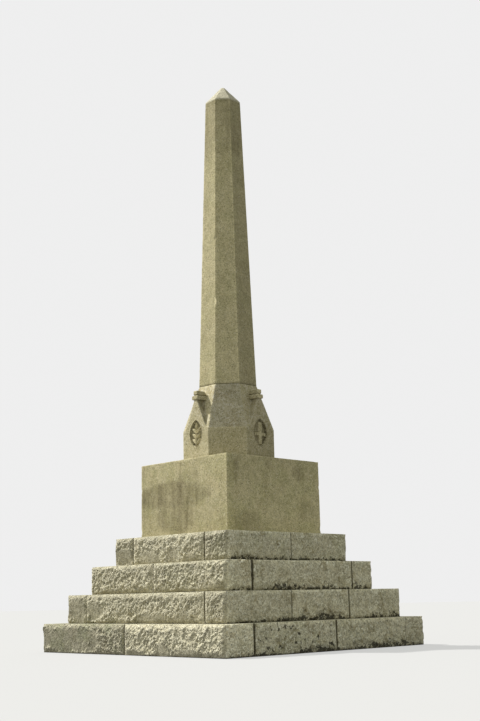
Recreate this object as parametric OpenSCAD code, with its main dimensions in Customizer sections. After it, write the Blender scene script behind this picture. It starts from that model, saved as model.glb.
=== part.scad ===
// Granite obelisk on four rock-faced steps
//
// Each step is a ring of blocks round a core. On the steps stand a square die, an eight-sided
// base stone with a gablet on each main side, and a tapering eight-sided shaft with a low point.
// X runs from left to right, Y from front to back and Z up. The origin is at the middle of the
// underside of the lowest step. All sizes are in millimetres.

/* [Steps] */
// Height of each step
step_rise = 382; // [300:1:450]
// Width of the tread left clear on each step
step_going = 241; // [150:1:300]
// Width of the ledge between the die and the edge of the top step
die_ledge = 248; // [150:1:340]
// How far the rough faces stand out in front of their arrises
face_bulge = 26; // [4:1:60]
// Width of the margin that slopes back to the arrises
face_margin = 60; // [20:1:120]
// Gap between neighbouring blocks of a step
joint_w = 6; // [2:1:20]
// How much further the second step stands out at its right side
second_step_right = 48; // [0:1:100]
// How much further the third and the top step stand out at the back
upper_steps_back = 24; // [0:1:80]

/* [Rows of blocks] */
// Depth of the left row in the lowest step
left_row_1 = 460; // [380:1:520]
// Depth of the right row in the lowest step
right_row_1 = 404; // [380:1:520]
// Depth of the front row in the second step
front_row_2 = 384; // [380:1:520]
// Depth of the back row in the second step
back_row_2 = 450; // [380:1:520]
// Depth of the left row in the third step
left_row_3 = 433; // [380:1:520]
// Depth of the right row in the third step
right_row_3 = 430; // [380:1:520]
// Depth of the front row in the top step
front_row_4 = 427; // [380:1:520]
// Depth of the back row in the top step
back_row_4 = 408; // [380:1:520]
// Depth of the shorter rows that fill in between the long ones
infill_row = 430; // [380:1:520]
// How far the middle joints lie off the middle line
joint_shift = 22; // [0:1:120]

/* [Die] */
// Width of the die
die_w = 1800; // [1500:5:2200]
// Height of the die
die_h = 1032; // [600:2:1400]

/* [Base stone] */
// Width of the base stone across its flat sides
base_w = 1289; // [1100:1:1480]
// Height of its upright part
upright_h = 437; // [300:1:600]
// Height of its sloping part
slope_h = 667; // [600:1:900]
// Distance from each gablet's foot to the corner beside it
gablet_inset = 36; // [0:1:90]
// Height of a gablet above the upright part
gablet_h = 497; // [450:1:540]

/* [Finials] */
// Height of the finial's underside above the upright part
finial_z = 432; // [400:1:445]
// Width of the lower roll
lower_roll_w = 118; // [90:1:160]
// Height of the lower roll
lower_roll_h = 60; // [50:1:80]
// How far the lower roll stands out in front of the gablet
lower_roll_out = 12; // [0:1:40]
// Width of the upper roll
upper_roll_w = 78; // [60:1:140]
// Height of the upper roll
upper_roll_h = 60; // [36:1:70]
// How far the upper roll lies behind the gablet's face
upper_roll_in = 0; // [0:1:30]
// Length of the upper roll's top
upper_roll_l = 146; // [100:1:160]
// How much longer its foot is than its top
upper_roll_tail = 50; // [10:1:60]
// Radius of the rolls' rounded edges
roll_round = 10; // [4:1:16]
// Height of the groove between the two rolls
groove_h = 12; // [2:1:20]
// Depth of the groove behind the faces of the upper roll
groove_in = 10; // [4:1:24]

/* [Sunk panels] */
// Width of a pointed panel
panel_w = 256; // [200:1:320]
// Height of a pointed panel
panel_h = 394; // [330:1:460]
// Height of its middle above the base stone's underside
panel_z = 384; // [330:1:440]
// Depth that the panel is sunk
panel_d = 32; // [10:1:44]
// How far the carving stays behind the face of the stone
relief_in = 4; // [1:1:8]
// Height of the cross
cross_h = 322; // [260:1:350]
// Width of the cross's upright
cross_upright_w = 70; // [30:1:80]
// Distance from the panel's middle down to the cross's middle
cross_drop = 14; // [0:1:20]
// Span of the cross's arms
cross_span = 214; // [120:1:220]
// Height of the cross's arms
cross_arm_h = 48; // [24:1:70]
// Distance from the panel's middle down to the middle of its arms
cross_arm_drop = 28; // [0:1:50]
// Height of the sprig
sprig_h = 330; // [260:1:370]
// Length of a leaf
leaf_l = 112; // [70:1:120]
// Width of a leaf
leaf_w = 44; // [20:1:48]
// Slant of the leaves, in degrees from upright
leaf_slant = 46; // [30:1:55]
// Distance between the pairs of leaves
leaf_step = 76; // [50:1:84]
// Height of the lowest pair above the sprig's foot
leaf_foot = 20; // [0:1:40]
// Width of the sprig's stem
stem_w = 14; // [8:1:24]

/* [Shaft] */
// Width of the shaft across its flat sides at the foot
shaft_foot_w = 827; // [700:1:940]
// Width of the shaft across its flat sides at the top
shaft_top_w = 531; // [400:1:660]
// Height of the shaft below its point
shaft_h = 4483; // [3000:1:6000]
// Height of the point
point_h = 314; // [150:1:500]
// Width of the blunt tip
tip_w = 24; // [10:1:60]

/* [Hidden] */
$fn = 48;
STEPS = 4;
JOINT = joint_w / 2;

// Distance from the middle to the left and front edges of each step, from the lowest up
step_half = [for (i = [0 : STEPS - 1]) die_w / 2 + die_ledge + (STEPS - 1 - i) * step_going];
// Distance from the middle to the right and to the back edge of each step
step_right = [for (i = [0 : STEPS - 1]) step_half[i] + (i == 1 ? second_step_right : 0)];
step_back = [for (i = [0 : STEPS - 1]) step_half[i] + (i > 1 ? upper_steps_back : 0)];
steps_top = STEPS * step_rise;
die_top = steps_top + die_h;
base_top = die_top + upright_h + slope_h;

// How deep the left, right, front and back rows of each step are
row_depths = [
    [left_row_1, right_row_1, infill_row, infill_row],
    [infill_row, infill_row, front_row_2, back_row_2],
    [left_row_3, right_row_3, infill_row, infill_row],
    [infill_row, infill_row, front_row_4, back_row_4]
];

// How many blocks each long row and each row between the long ones holds
long_counts = [2, 3, 2, 2];
infill_counts = [2, 1, 1, 1];

// In the first and third steps the left and right rows run the full length, in the others the
// front and back rows do
function long_rows_at_sides(i) = i % 2 == 0;

// The inner edges of a step's rows, as [left, right, front, back]
function inner(i) = [
    -step_half[i] + row_depths[i][0], step_right[i] - row_depths[i][1],
    -step_half[i] + row_depths[i][2], step_back[i] - row_depths[i][3]
];

// Cuts a row from a to b into n blocks, with the middle joints moved off the middle line
function cuts(a, b, n) = [
    for (k = [0 : n]) a + (b - a) * k / n + (k > 0 && k < n ? joint_shift : 0)
];

// The blocks of the left or right row, each as [name, low corner, high corner, step]
function side_row(i, side, x0, x1) =
    let (
        long = long_rows_at_sides(i),
        a = long ? -step_half[i] : inner(i)[2],
        b = long ? step_back[i] : inner(i)[3],
        n = long ? long_counts[i] : infill_counts[i],
        c = cuts(a, b, n)
    )
    [for (k = [0 : n - 1]) [str("step", i + 1, "_", side, "_", k + 1), [x0, c[k]], [x1, c[k + 1]], i]];

// The blocks of the front or back row
function cross_row(i, side, y0, y1) =
    let (
        long = !long_rows_at_sides(i),
        a = long ? -step_half[i] : inner(i)[0],
        b = long ? step_right[i] : inner(i)[1],
        n = long ? long_counts[i] : infill_counts[i],
        c = cuts(a, b, n)
    )
    [for (k = [0 : n - 1]) [str("step", i + 1, "_", side, "_", k + 1), [c[k], y0], [c[k + 1], y1], i]];

BLOCKS = [
    for (i = [0 : STEPS - 1])
        for (block = concat(
            side_row(i, "left", -step_half[i], inner(i)[0]),
            side_row(i, "right", inner(i)[1], step_right[i]),
            cross_row(i, "front", -step_half[i], inner(i)[2]),
            cross_row(i, "back", inner(i)[3], step_back[i])
        ))
            block
];

rough_granite = [0.72, 0.71, 0.63];
dressed_granite = [0.70, 0.67, 0.53];
filling = [0.55, 0.54, 0.50];

// A rectangle whose sides swell by out = [left, right, low, high] behind a sloping margin
module swollen(lo, hi, out) {
    m = face_margin;
    polygon(concat(
        [lo],
        out[2] > 0 ? [[lo[0] + m, lo[1] - out[2]], [hi[0] - m, lo[1] - out[2]]] : [],
        [[hi[0], lo[1]]],
        out[1] > 0 ? [[hi[0] + out[1], lo[1] + m], [hi[0] + out[1], hi[1] - m]] : [],
        [hi],
        out[3] > 0 ? [[hi[0] - m, hi[1] + out[3]], [lo[0] + m, hi[1] + out[3]]] : [],
        [[lo[0], hi[1]]],
        out[0] > 0 ? [[lo[0] - out[0], hi[1] - m], [lo[0] - out[0], lo[1] + m]] : []
    ));
}

// One block of a step, rough on the sides that show and sawn on the others
module step_block(lo, hi, i) {
    edge = step_half[i];
    shows = [lo[0] == -edge, hi[0] == step_right[i], lo[1] == -edge, hi[1] == step_back[i]];
    out = [for (side = shows) side ? face_bulge : 0];
    cut_lo = [lo[0] + (shows[0] ? 0 : JOINT), lo[1] + (shows[2] ? 0 : JOINT)];
    cut_hi = [hi[0] - (shows[1] ? 0 : JOINT), hi[1] - (shows[3] ? 0 : JOINT)];
    z0 = i * step_rise;
    z1 = z0 + step_rise;
    color(rough_granite) intersection() {
        translate([0, 0, z0]) linear_extrude(step_rise) swollen(cut_lo, cut_hi, out);
        translate([0, cut_hi[1] + face_bulge, 0]) rotate([90, 0, 0])
            linear_extrude(cut_hi[1] - cut_lo[1] + 2 * face_bulge)
                swollen([cut_lo[0], z0], [cut_hi[0], z1], [out[0], out[1], 0, 0]);
        translate([cut_lo[0] - face_bulge, 0, 0]) rotate([90, 0, 90])
            linear_extrude(cut_hi[0] - cut_lo[0] + 2 * face_bulge)
                swollen([cut_lo[1], z0], [cut_hi[1], z1], [out[2], out[3], 0, 0]);
    }
}

// The filling inside the four rings of blocks
module core() {
    color(filling) for (i = [0 : STEPS - 1]) {
        limits = inner(i);
        translate([limits[0], limits[2], i * step_rise])
            cube([limits[1] - limits[0], limits[3] - limits[2], step_rise]);
    }
}

// The plain square stone that carries the monument
module die() {
    color(dressed_granite) translate([-die_w / 2, -die_w / 2, steps_top]) cube([die_w, die_w, die_h]);
}

// An eight-sided solid that follows a list of [width across the flats, height]
module eight_sided(profile) {
    last = len(profile) - 1;
    intersection_for (turn = [0 : 45 : 135])
        rotate(turn) translate([0, profile[0][0] / 2, 0]) rotate([90, 0, 0])
            linear_extrude(profile[0][0])
                polygon(concat(
                    [for (p = profile) [p[0] / 2, p[1]]],
                    [for (k = [last : -1 : 0]) [-profile[k][0] / 2, profile[k][1]]]
                ));
}

// Stands a flat shape upright, with its face depth mm behind the front of the base stone
module upright(depth, thick) {
    translate([0, -base_w / 2 + depth + thick, 0]) rotate([90, 0, 0]) linear_extrude(thick) children();
}

// A gablet on the front side, running back into the slope
module gablet() {
    half = base_w / 2 * tan(22.5) - gablet_inset;
    upright(0, base_w / 2)
        polygon([[-half, 0], [half, 0], [half, upright_h], [0, upright_h + gablet_h], [-half, upright_h]]);
}

// A rectangle with rounded corners
module rounded(width, height) {
    r = roll_round;
    translate([r, 0]) square([width - 2 * r, height]);
    translate([0, r]) square([width, height - 2 * r]);
    for (x = [r, width - r], z = [r, height - r]) translate([x, z]) circle(r);
}

// A roll with rounded edges, its front face out mm in front of the gablet's. Its foot is longer
// than its top by the tail.
module roll(width, height, out, length, tail) {
    intersection() {
        upright(-out, length + tail) translate([-width / 2, 0]) rounded(width, height);
        translate([-width / 2, -base_w / 2 - out, 0]) rotate([90, 0, 90]) linear_extrude(width) {
            rounded(length, height);
            polygon([
                [length / 2, 0], [length + tail, 0], [length, height], [length / 2, height]
            ]);
        }
    }
}

// The two rolls on the top of a gablet, with a groove between them, running back into the slope
module finial() {
    neck_w = upper_roll_w - 2 * groove_in;
    neck_h = (lower_roll_h + upper_roll_h) / 2 + groove_h;
    translate([0, 0, upright_h + finial_z]) {
        roll(lower_roll_w, lower_roll_h, lower_roll_out, base_w / 3, 0);
        upright(upper_roll_in + groove_in, base_w / 3)
            translate([-neck_w / 2, lower_roll_h / 2]) square([neck_w, neck_h]);
        translate([0, 0, lower_roll_h + groove_h])
            roll(upper_roll_w, upper_roll_h, -upper_roll_in, upper_roll_l, upper_roll_tail);
    }
}

// A shape with two curved sides that meet in a point above and below
module pointed_oval(width, height) {
    r = (width * width + height * height) / (4 * width);
    intersection_for (side = [-1, 1]) translate([side * (r - width / 2), 0]) circle(r);
}

// A plain cross that nearly fills the panel
module cross_relief() {
    translate([0, -cross_drop]) square([cross_upright_w, cross_h], center = true);
    translate([0, -cross_arm_drop]) square([cross_span, cross_arm_h], center = true);
}

// A sprig with one leaf at its tip and three pairs of leaves below
module sprig_relief() {
    foot = -sprig_h / 2;
    tip = sprig_h / 2;
    translate([-stem_w / 2, foot]) square([stem_w, sprig_h - leaf_l / 2]);
    translate([0, tip - leaf_l / 2]) pointed_oval(leaf_w, leaf_l);
    for (pair = [0 : 2], side = [-1, 1])
        translate([0, foot + leaf_foot + pair * leaf_step]) rotate(-side * leaf_slant)
            translate([0, leaf_l / 2]) pointed_oval(leaf_w, leaf_l);
}

// The eight-sided stone between the die and the shaft
module base_stone() {
    color(dressed_granite) translate([0, 0, die_top]) {
        difference() {
            union() {
                eight_sided([[base_w, 0], [base_w, upright_h], [shaft_foot_w, upright_h + slope_h]]);
                for (turn = [0 : 90 : 270]) rotate(turn) {
                    gablet();
                    finial();
                }
            }
            for (turn = [0 : 90 : 270]) rotate(turn)
                translate([0, 0, panel_z]) upright(-1, panel_d + 1) pointed_oval(panel_w, panel_h);
        }
        for (turn = [0, 180]) rotate(turn)
            translate([0, 0, panel_z]) upright(relief_in, panel_d) intersection() {
                cross_relief();
                pointed_oval(panel_w, panel_h);
            }
        for (turn = [90, 270]) rotate(turn)
            translate([0, 0, panel_z]) upright(relief_in, panel_d) intersection() {
                sprig_relief();
                pointed_oval(panel_w, panel_h);
            }
    }
}

// The tapering eight-sided shaft and its low point
module shaft() {
    color(dressed_granite) translate([0, 0, base_top])
        eight_sided([[shaft_foot_w, 0], [shaft_top_w, shaft_h], [tip_w, shaft_h + point_h]]);
}

for (block = BLOCKS)
    step_block(block[1], block[2], block[3]);
core();
die();
base_stone();
shaft();
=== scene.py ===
import math
import bpy
import bmesh
import numpy as np
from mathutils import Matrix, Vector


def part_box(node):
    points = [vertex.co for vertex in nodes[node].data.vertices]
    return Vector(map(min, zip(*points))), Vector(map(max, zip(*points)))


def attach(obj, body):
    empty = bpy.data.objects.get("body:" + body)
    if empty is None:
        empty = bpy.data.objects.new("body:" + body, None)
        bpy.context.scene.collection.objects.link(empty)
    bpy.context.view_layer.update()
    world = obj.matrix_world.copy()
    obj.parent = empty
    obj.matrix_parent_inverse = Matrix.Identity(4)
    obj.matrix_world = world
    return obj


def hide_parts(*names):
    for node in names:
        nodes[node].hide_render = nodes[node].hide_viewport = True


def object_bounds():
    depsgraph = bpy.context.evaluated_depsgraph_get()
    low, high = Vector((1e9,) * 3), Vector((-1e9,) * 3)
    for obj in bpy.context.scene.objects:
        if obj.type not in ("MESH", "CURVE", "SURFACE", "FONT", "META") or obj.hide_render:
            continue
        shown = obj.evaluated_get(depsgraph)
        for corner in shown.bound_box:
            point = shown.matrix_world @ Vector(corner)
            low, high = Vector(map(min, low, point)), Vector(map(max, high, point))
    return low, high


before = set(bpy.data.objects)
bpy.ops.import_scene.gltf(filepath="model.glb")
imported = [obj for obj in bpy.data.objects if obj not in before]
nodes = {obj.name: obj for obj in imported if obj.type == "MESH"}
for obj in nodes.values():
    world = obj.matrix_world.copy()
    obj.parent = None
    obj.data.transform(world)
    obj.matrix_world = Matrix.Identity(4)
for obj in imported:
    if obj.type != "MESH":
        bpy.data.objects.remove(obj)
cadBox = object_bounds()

from types import SimpleNamespace
from mathutils import Matrix, Vector

# Granite obelisk on four rock-faced steps. Metres, Z up, the front is -Y and the left side -X.
print("Frame loaded with", len(nodes), "solids")


def addToScene(name, data):
    made = bpy.data.objects.new(name, data)
    bpy.context.scene.collection.objects.link(made)
    return made


def pointing(bearing, rise):
    # a unit vector, so many degrees round from +X towards +Y and above the floor
    bearing, rise = math.radians(bearing), math.radians(rise)
    return Vector((math.cos(bearing) * math.cos(rise), math.sin(bearing) * math.cos(rise), math.sin(rise)))


# Camera

photoCamera = {
    "bearing": 226.79,       # degrees round the monument, counted from +X towards +Y
    "distance": 15.207,      # metres from the shaft's axis
    "height": 0.664,         # eye level above the foot of the steps
    "turn": -0.68,           # degrees that the view is turned off the axis
    "tilt": 12.685,          # degrees upwards
    "roll": -1.22,           # degrees
    "focalPixels": 1060.0,   # focal length in pixels of the photograph's frame
    "frameHeight": 721.0,    # the long side of that frame, in pixels
    "sensor": 36.0,          # millimetres on the long side
}


def makeCamera(look):
    place = pointing(look["bearing"], 0) * look["distance"]
    place.z = look["height"]
    ahead = pointing(look["bearing"] + 180 + look["turn"], look["tilt"])
    level = ahead.cross(Vector((0, 0, 1))).normalized()
    upward = level.cross(ahead)
    roll = math.radians(look["roll"])
    right = level * math.cos(roll) + upward * math.sin(roll)
    up = upward * math.cos(roll) - level * math.sin(roll)
    data = bpy.data.cameras.new("photo_camera")
    data.sensor_fit = "AUTO"
    data.sensor_width = look["sensor"]
    data.lens = look["focalPixels"] / look["frameHeight"] * look["sensor"]
    camera = addToScene("photo_camera", data)
    axes = Matrix((right, up, -ahead)).transposed().to_4x4()
    camera.matrix_world = Matrix.Translation(place) @ axes
    bpy.context.scene.camera = camera


makeCamera(photoCamera)
print("Camera placed")


# Noise and mesh helpers

def cellValue(ix, iy, iz, seed):
    # a steady number from -1 to 1 for each whole-numbered cell
    n = (ix * 73856093 ^ iy * 19349663 ^ iz * 83492791 ^ seed * 2654435761) & 0xFFFFFFFF
    n = ((n ^ (n >> 13)) & 0xFFFFFFFF) * 1274126177 & 0xFFFFFFFF
    return ((n ^ (n >> 16)) & 0xFFFF) / 32767.5 - 1.0


def smoothNoise(points, seed):
    cell = np.floor(points).astype(np.int64)
    part = points - cell
    part = part * part * (3 - 2 * part)
    total = 0.0
    for corner in np.ndindex(2, 2, 2):
        weight = 1.0
        for axis, step in enumerate(corner):
            weight = weight * (part[..., axis] if step else 1 - part[..., axis])
        total = total + weight * cellValue(*(cell[..., axis] + corner[axis] for axis in range(3)), seed)
    return total


def fractalNoise(points, size, octaves, seed):
    # size is the width of the largest lumps in metres
    total, weight, reach = 0.0, 1.0, 0.0
    for octave in range(octaves):
        total = total + weight * smoothNoise(points * (2 ** octave / size), seed + 31 * octave)
        reach += weight
        weight *= 0.5
    return total / reach


def ease(value):
    value = np.clip(value, 0, 1)
    return value * value * (3 - 2 * value)


def steepEase(value):
    # rises quickly from 0 and flattens towards 1
    return 1 - (1 - np.clip(value, 0, 1)) ** 2


def fade(distance, reach):
    # 1 at no distance and 0 from the reach on
    return np.clip(1 - distance / reach, 0, 1)


def bell(distance, width):
    return np.exp(-(distance / width) ** 2)


def dome(distance, radius):
    return np.sqrt(np.clip(1 - (distance / radius) ** 2, 0, 1))


def ovalField(u, v, middle, rise, halfWidth, halfHeight):
    # 1 in the middle of an upright oval and 0 on its outline
    return 1 - ((u - middle) / halfWidth) ** 2 - ((v - rise) / halfHeight) ** 2


def smoothPiece(name, mesh):
    mesh.polygons.foreach_set("use_smooth", [True] * len(mesh.polygons))
    mesh.update()
    return addToScene(name, mesh)


def meshPiece(name, points, faces):
    mesh = bpy.data.meshes.new(name)
    mesh.from_pydata([tuple(p) for p in points], [], faces)
    return smoothPiece(name, mesh)


def pointArray(mesh, label="co"):
    # the places of a mesh's points, or their normals
    values = np.empty(len(mesh.vertices) * 3)
    mesh.vertices.foreach_get(label, values)
    return values.reshape(-1, 3)


def edgeEnds(mesh):
    ends = np.empty(len(mesh.edges) * 2, np.int64)
    mesh.edges.foreach_get("vertices", ends)
    return ends.reshape(-1, 2).T


def edgeMeans(a, b, count):
    # how many edges meet at each point, and a function for the mean of what they bring there
    meets = np.bincount(a, minlength=count) + np.bincount(b, minlength=count)

    def mean(toA, toB):
        return (np.bincount(a, toA, count) + np.bincount(b, toB, count)) / np.maximum(meets, 1)

    return meets, mean


def storeMasks(piece, **masks):
    # one number for each point, or the same number for all
    for label, values in masks.items():
        layer = piece.data.attributes.new(label, "FLOAT", "POINT")
        layer.data.foreach_set("value", np.full(len(layer.data), values, np.float32))


fineEdge = 0.05   # longer edges belong to the flat faces behind the worked surfaces


def manySided(mesh):
    # the faces that close a stone's bed, top and joints
    counts = np.empty(len(mesh.polygons), np.int32)
    mesh.polygons.foreach_get("loop_total", counts)
    return [mesh.polygons[int(index)] for index in np.flatnonzero(counts > 4)]


def markBends(piece, gain, passes, dirtAndShade=0.0):
    # stores how far each point stands out as an arris, painted paler as worn stone with painted highlight, or
    # lies back as a hollow, painted darker as dirt with painted shade
    mesh = piece.data
    points = pointArray(mesh)
    a, b = edgeEnds(mesh)
    length = np.linalg.norm(points[a] - points[b], axis=1)
    fine = length < fineEdge
    a, b, length = a[fine], b[fine], length[fine]
    meets, mean = edgeMeans(a, b, len(points))
    middle = np.stack([mean(points[b, axis], points[a, axis]) for axis in range(3)], 1)
    bend = (meets > 1) * ((points - middle) * pointArray(mesh, "normal")).sum(1)
    bend = bend / np.maximum(mean(length, length), 1e-4)
    for _ in range(passes):
        bend = 0.5 * bend + 0.5 * mean(bend[b], bend[a])
    for face in manySided(mesh):
        bend[list(face.vertices)] = 0
    storeMasks(piece, arris=np.clip(bend * gain, 0, 1), hollow=np.clip(dirtAndShade - bend * gain, 0, 1))


def finishPiece(piece, slotName, material, *replaced):
    piece.data.materials.clear()
    piece.data.materials.append(material)
    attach(piece, "root")
    if replaced:
        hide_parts(*replaced)


# Shader helpers

def plug(tree, socket, value):
    # links an output, or sets a number or a colour of three numbers
    if isinstance(value, bpy.types.NodeSocket):
        tree.links.new(value, socket)
    else:
        socket.default_value = (*value, 1) if isinstance(value, tuple) else value


def addNode(tree, kind, *values, settings=None, **inputs):
    # values go to the node's first inputs, and the rest to the inputs of those names
    made = tree.nodes.new(kind)
    for name, value in (settings or {}).items():
        setattr(made, name, value)
    for socket, value in zip(made.inputs, values):
        plug(tree, socket, value)
    for name, value in inputs.items():
        plug(tree, made.inputs[name.replace("_", " ")], value)
    return made


def mixColour(tree, blend, factor, under, over):
    made = addNode(tree, "ShaderNodeMix", factor, settings={"data_type": "RGBA", "blend_type": blend})
    plug(tree, made.inputs[6], under)
    plug(tree, made.inputs[7], over)
    return made.outputs[2]


def mixShaders(tree, factor, first, second):
    return addNode(tree, "ShaderNodeMixShader", factor, first, second).outputs[0]


def maths(tree, operation, first, second=0.0, clamp=False):
    settings = {"operation": operation, "use_clamp": clamp}
    return addNode(tree, "ShaderNodeMath", first, second, settings=settings).outputs[0]


def times(tree, first, second):
    return maths(tree, "MULTIPLY", first, second)


def between(tree, value, low, high):
    # 0 at low and 1 at high, with soft ends
    settings = {"interpolation_type": "SMOOTHSTEP"}
    made = addNode(tree, "ShaderNodeMapRange", settings=settings, Value=value, From_Min=low, From_Max=high)
    return made.outputs["Result"]


def noise(tree, place, scale, detail, roughness=0.5, distortion=0.0):
    made = addNode(
        tree, "ShaderNodeTexNoise",
        Vector=place, Scale=scale, Detail=detail, Roughness=roughness, Distortion=distortion,
    )
    return made.outputs["Fac"]


def newGroup(name, **inputs):
    # inputs have their first values, which are three numbers for a colour
    tree = bpy.data.node_groups.new(name, "ShaderNodeTree")
    for label, value in inputs.items():
        kind = "NodeSocketColor" if isinstance(value, tuple) else "NodeSocketFloat"
        label = label.replace("_", " ")
        plug(tree, tree.interface.new_socket(name=label, in_out="INPUT", socket_type=kind), value)
    place = tree.nodes.new("ShaderNodeTexCoord").outputs["Object"]
    return tree, place, tree.nodes.new("NodeGroupInput").outputs


def finishGroup(tree, **outputs):
    for label in outputs:
        kind = "NodeSocketColor" if label == "Colour" else "NodeSocketFloat"
        tree.interface.new_socket(name=label, in_out="OUTPUT", socket_type=kind)
    addNode(tree, "NodeGroupOutput", **outputs)
    return tree


def placeGroup(tree, group, **inputs):
    return addNode(tree, "ShaderNodeGroup", settings={"node_tree": group}, **inputs).outputs


# Shader node groups that the granites share

def makeGrainGroup():
    tree, place, given = newGroup(
        "Granite grain", Pale=(0.5, 0.5, 0.4), Grey=(0.3, 0.3, 0.25), Mica=(0.06, 0.06, 0.05),
        Crystals=120.0, Mottle=0.5,
    )
    cells = addNode(tree, "ShaderNodeTexVoronoi", Vector=place, Scale=given["Crystals"])
    chance = addNode(tree, "ShaderNodeSeparateColor", cells.outputs["Color"]).outputs
    coarse = noise(tree, place, scale=38.0, detail=3.0, roughness=0.6)
    broad = noise(tree, place, scale=11.0, detail=3.0, roughness=0.55)
    both = maths(tree, "ADD", between(tree, coarse, 0.34, 0.66), between(tree, broad, 0.34, 0.66))
    lumps = times(tree, maths(tree, "SUBTRACT", both, 1.0), given["Mottle"])
    share = maths(tree, "ADD", chance["Red"], lumps, clamp=True)
    feldspar = mixColour(tree, "MIX", share, given["Pale"], given["Grey"])
    fleck = times(tree, between(tree, chance["Green"], 0.9, 0.94), 0.75)
    colour = mixColour(tree, "MIX", fleck, feldspar, given["Mica"])
    height = maths(tree, "ADD", times(tree, chance["Blue"], 0.4), coarse)
    return finishGroup(tree, Colour=colour, Height=height)


def makeWeatherGroup():
    tree, place, given = newGroup("Rain and lichen", Streaks_Per_Metre=14.0, Patch_Size=0.4)
    thin = given["Streaks Per Metre"]
    stretch = addNode(tree, "ShaderNodeCombineXYZ", thin, thin, times(tree, thin, 0.07))
    settings = {"operation": "MULTIPLY"}
    drawn = addNode(tree, "ShaderNodeVectorMath", place, stretch.outputs[0], settings=settings)
    runs = noise(tree, drawn.outputs[0], scale=1.0, detail=4.0, roughness=0.6)
    often = maths(tree, "DIVIDE", 1.0, given["Patch Size"])
    areas = noise(tree, place, scale=often, detail=5.0, roughness=0.6)
    where = noise(tree, place, scale=1.7, detail=2.0)
    crust = noise(tree, place, scale=46.0, detail=2.0)
    return finishGroup(
        tree,
        Streaks=times(tree, between(tree, runs, 0.48, 0.68), between(tree, where, 0.40, 0.62)),
        Runs=between(tree, runs, 0.38, 0.62),
        Patches=between(tree, areas, 0.47, 0.66),
        Crust=between(tree, crust, 0.60, 0.68),
    )


def makeCurlGroup():
    # thin curled lines of pale crust, and the blotches where the stone has turned brown
    tree, place, given = newGroup("Curled crust", Curls_Per_Metre=9.0, Blotch_Size=0.2)
    curl = noise(tree, place, scale=given["Curls Per Metre"], detail=3.0, roughness=0.62, distortion=1.6)
    away = maths(tree, "ABSOLUTE", maths(tree, "SUBTRACT", curl, 0.5))
    line = maths(tree, "SUBTRACT", 1.0, between(tree, away, 0.008, 0.042))
    gaps = noise(tree, place, scale=34.0, detail=2.0)
    curls = times(tree, line, between(tree, gaps, 0.40, 0.55))
    often = maths(tree, "DIVIDE", 1.0, given["Blotch Size"])
    blotch = noise(tree, place, scale=often, detail=5.0, roughness=0.66)
    return finishGroup(tree, Curls=curls, Blotches=between(tree, blotch, 0.50, 0.64))


def makeBreakGroup():
    # sharp crests of broken stone that are finer than the mesh
    tree, place, given = newGroup("Broken stone", Crests_Per_Metre=20.0)
    height = 0.0
    for gain, weight in ((1.0, 0.6), (2.1, 0.45)):
        often = times(tree, given["Crests Per Metre"], gain)
        rough = noise(tree, place, scale=often, detail=1.0, roughness=0.4, distortion=0.3)
        away = maths(tree, "ABSOLUTE", maths(tree, "SUBTRACT", rough, 0.5))
        crest = maths(tree, "SUBTRACT", 1.0, times(tree, away, 4.0))
        height = maths(tree, "ADD", height, times(tree, crest, weight))
    return finishGroup(tree, Height=height)


def makeDampGroup():
    # black growth that climbs from the foot in spikes, black pits, and the green film above
    tree, place, given = newGroup("Damp foot", Damp=0.0, Rise=0.0, Pits=0.0)
    spikes = noise(tree, place, scale=15.0, detail=5.0, roughness=0.75)
    high = times(tree, maths(tree, "SUBTRACT", spikes, 0.42), 0.42)
    edge = maths(tree, "SUBTRACT", times(tree, high, given["Damp"]), given["Rise"])
    holes = noise(tree, place, scale=15.0, detail=3.0, roughness=0.6)
    pits = times(tree, between(tree, holes, 0.60, 0.635), given["Pits"])
    black = maths(tree, "MAXIMUM", between(tree, edge, -0.008, 0.012), pits)
    film = noise(tree, place, scale=3.1, detail=5.0, roughness=0.65)
    return finishGroup(tree, Black=black, Green=between(tree, film, 0.42, 0.62))


grainGroup = makeGrainGroup()
weatherGroup = makeWeatherGroup()
curlGroup = makeCurlGroup()
breakGroup = makeBreakGroup()
dampGroup = makeDampGroup()


# Materials

rockFacedLook = {
    "pale": (0.58, 0.54, 0.40),
    "grey": (0.34, 0.315, 0.225),
    "mica": (0.09, 0.085, 0.06),
    "crystals": 110.0,
    "mottle": 0.62,
    "streaksPerMetre": 9.0,
    "patchSize": 0.24,
    "curlsPerMetre": 7.0,
    "blotchSize": 0.15,
    "crestsPerMetre": 31.0,
    "bumpDepth": 0.004,
    "crestDepth": 0.013,
    # colour and strength of what lies on the stone, and of the painted shade in hollows and the painted
    # highlight on arrises
    "streaks": ((0.66, 0.64, 0.58), 0.35),
    "patches": ((0.74, 0.74, 0.67), 0.45),
    "film": ((0.72, 0.78, 0.66), 0.8),
    "crust": ((0.66, 0.64, 0.54), 0.45),
    "curls": ((0.72, 0.71, 0.60), 0.75),
    "blotches": ((0.52, 0.46, 0.33), 0.6),
    # painted shade in hollows, with some dirt
    "hollow": ((0.11, 0.10, 0.065), 0.62),
    # paler worn arrises with painted highlight
    "arris": ((0.80, 0.78, 0.69), 0.66),
    "stain": (0.30, 0.28, 0.22),
    "black": ((0.03, 0.027, 0.017), 0.9),
}

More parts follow.
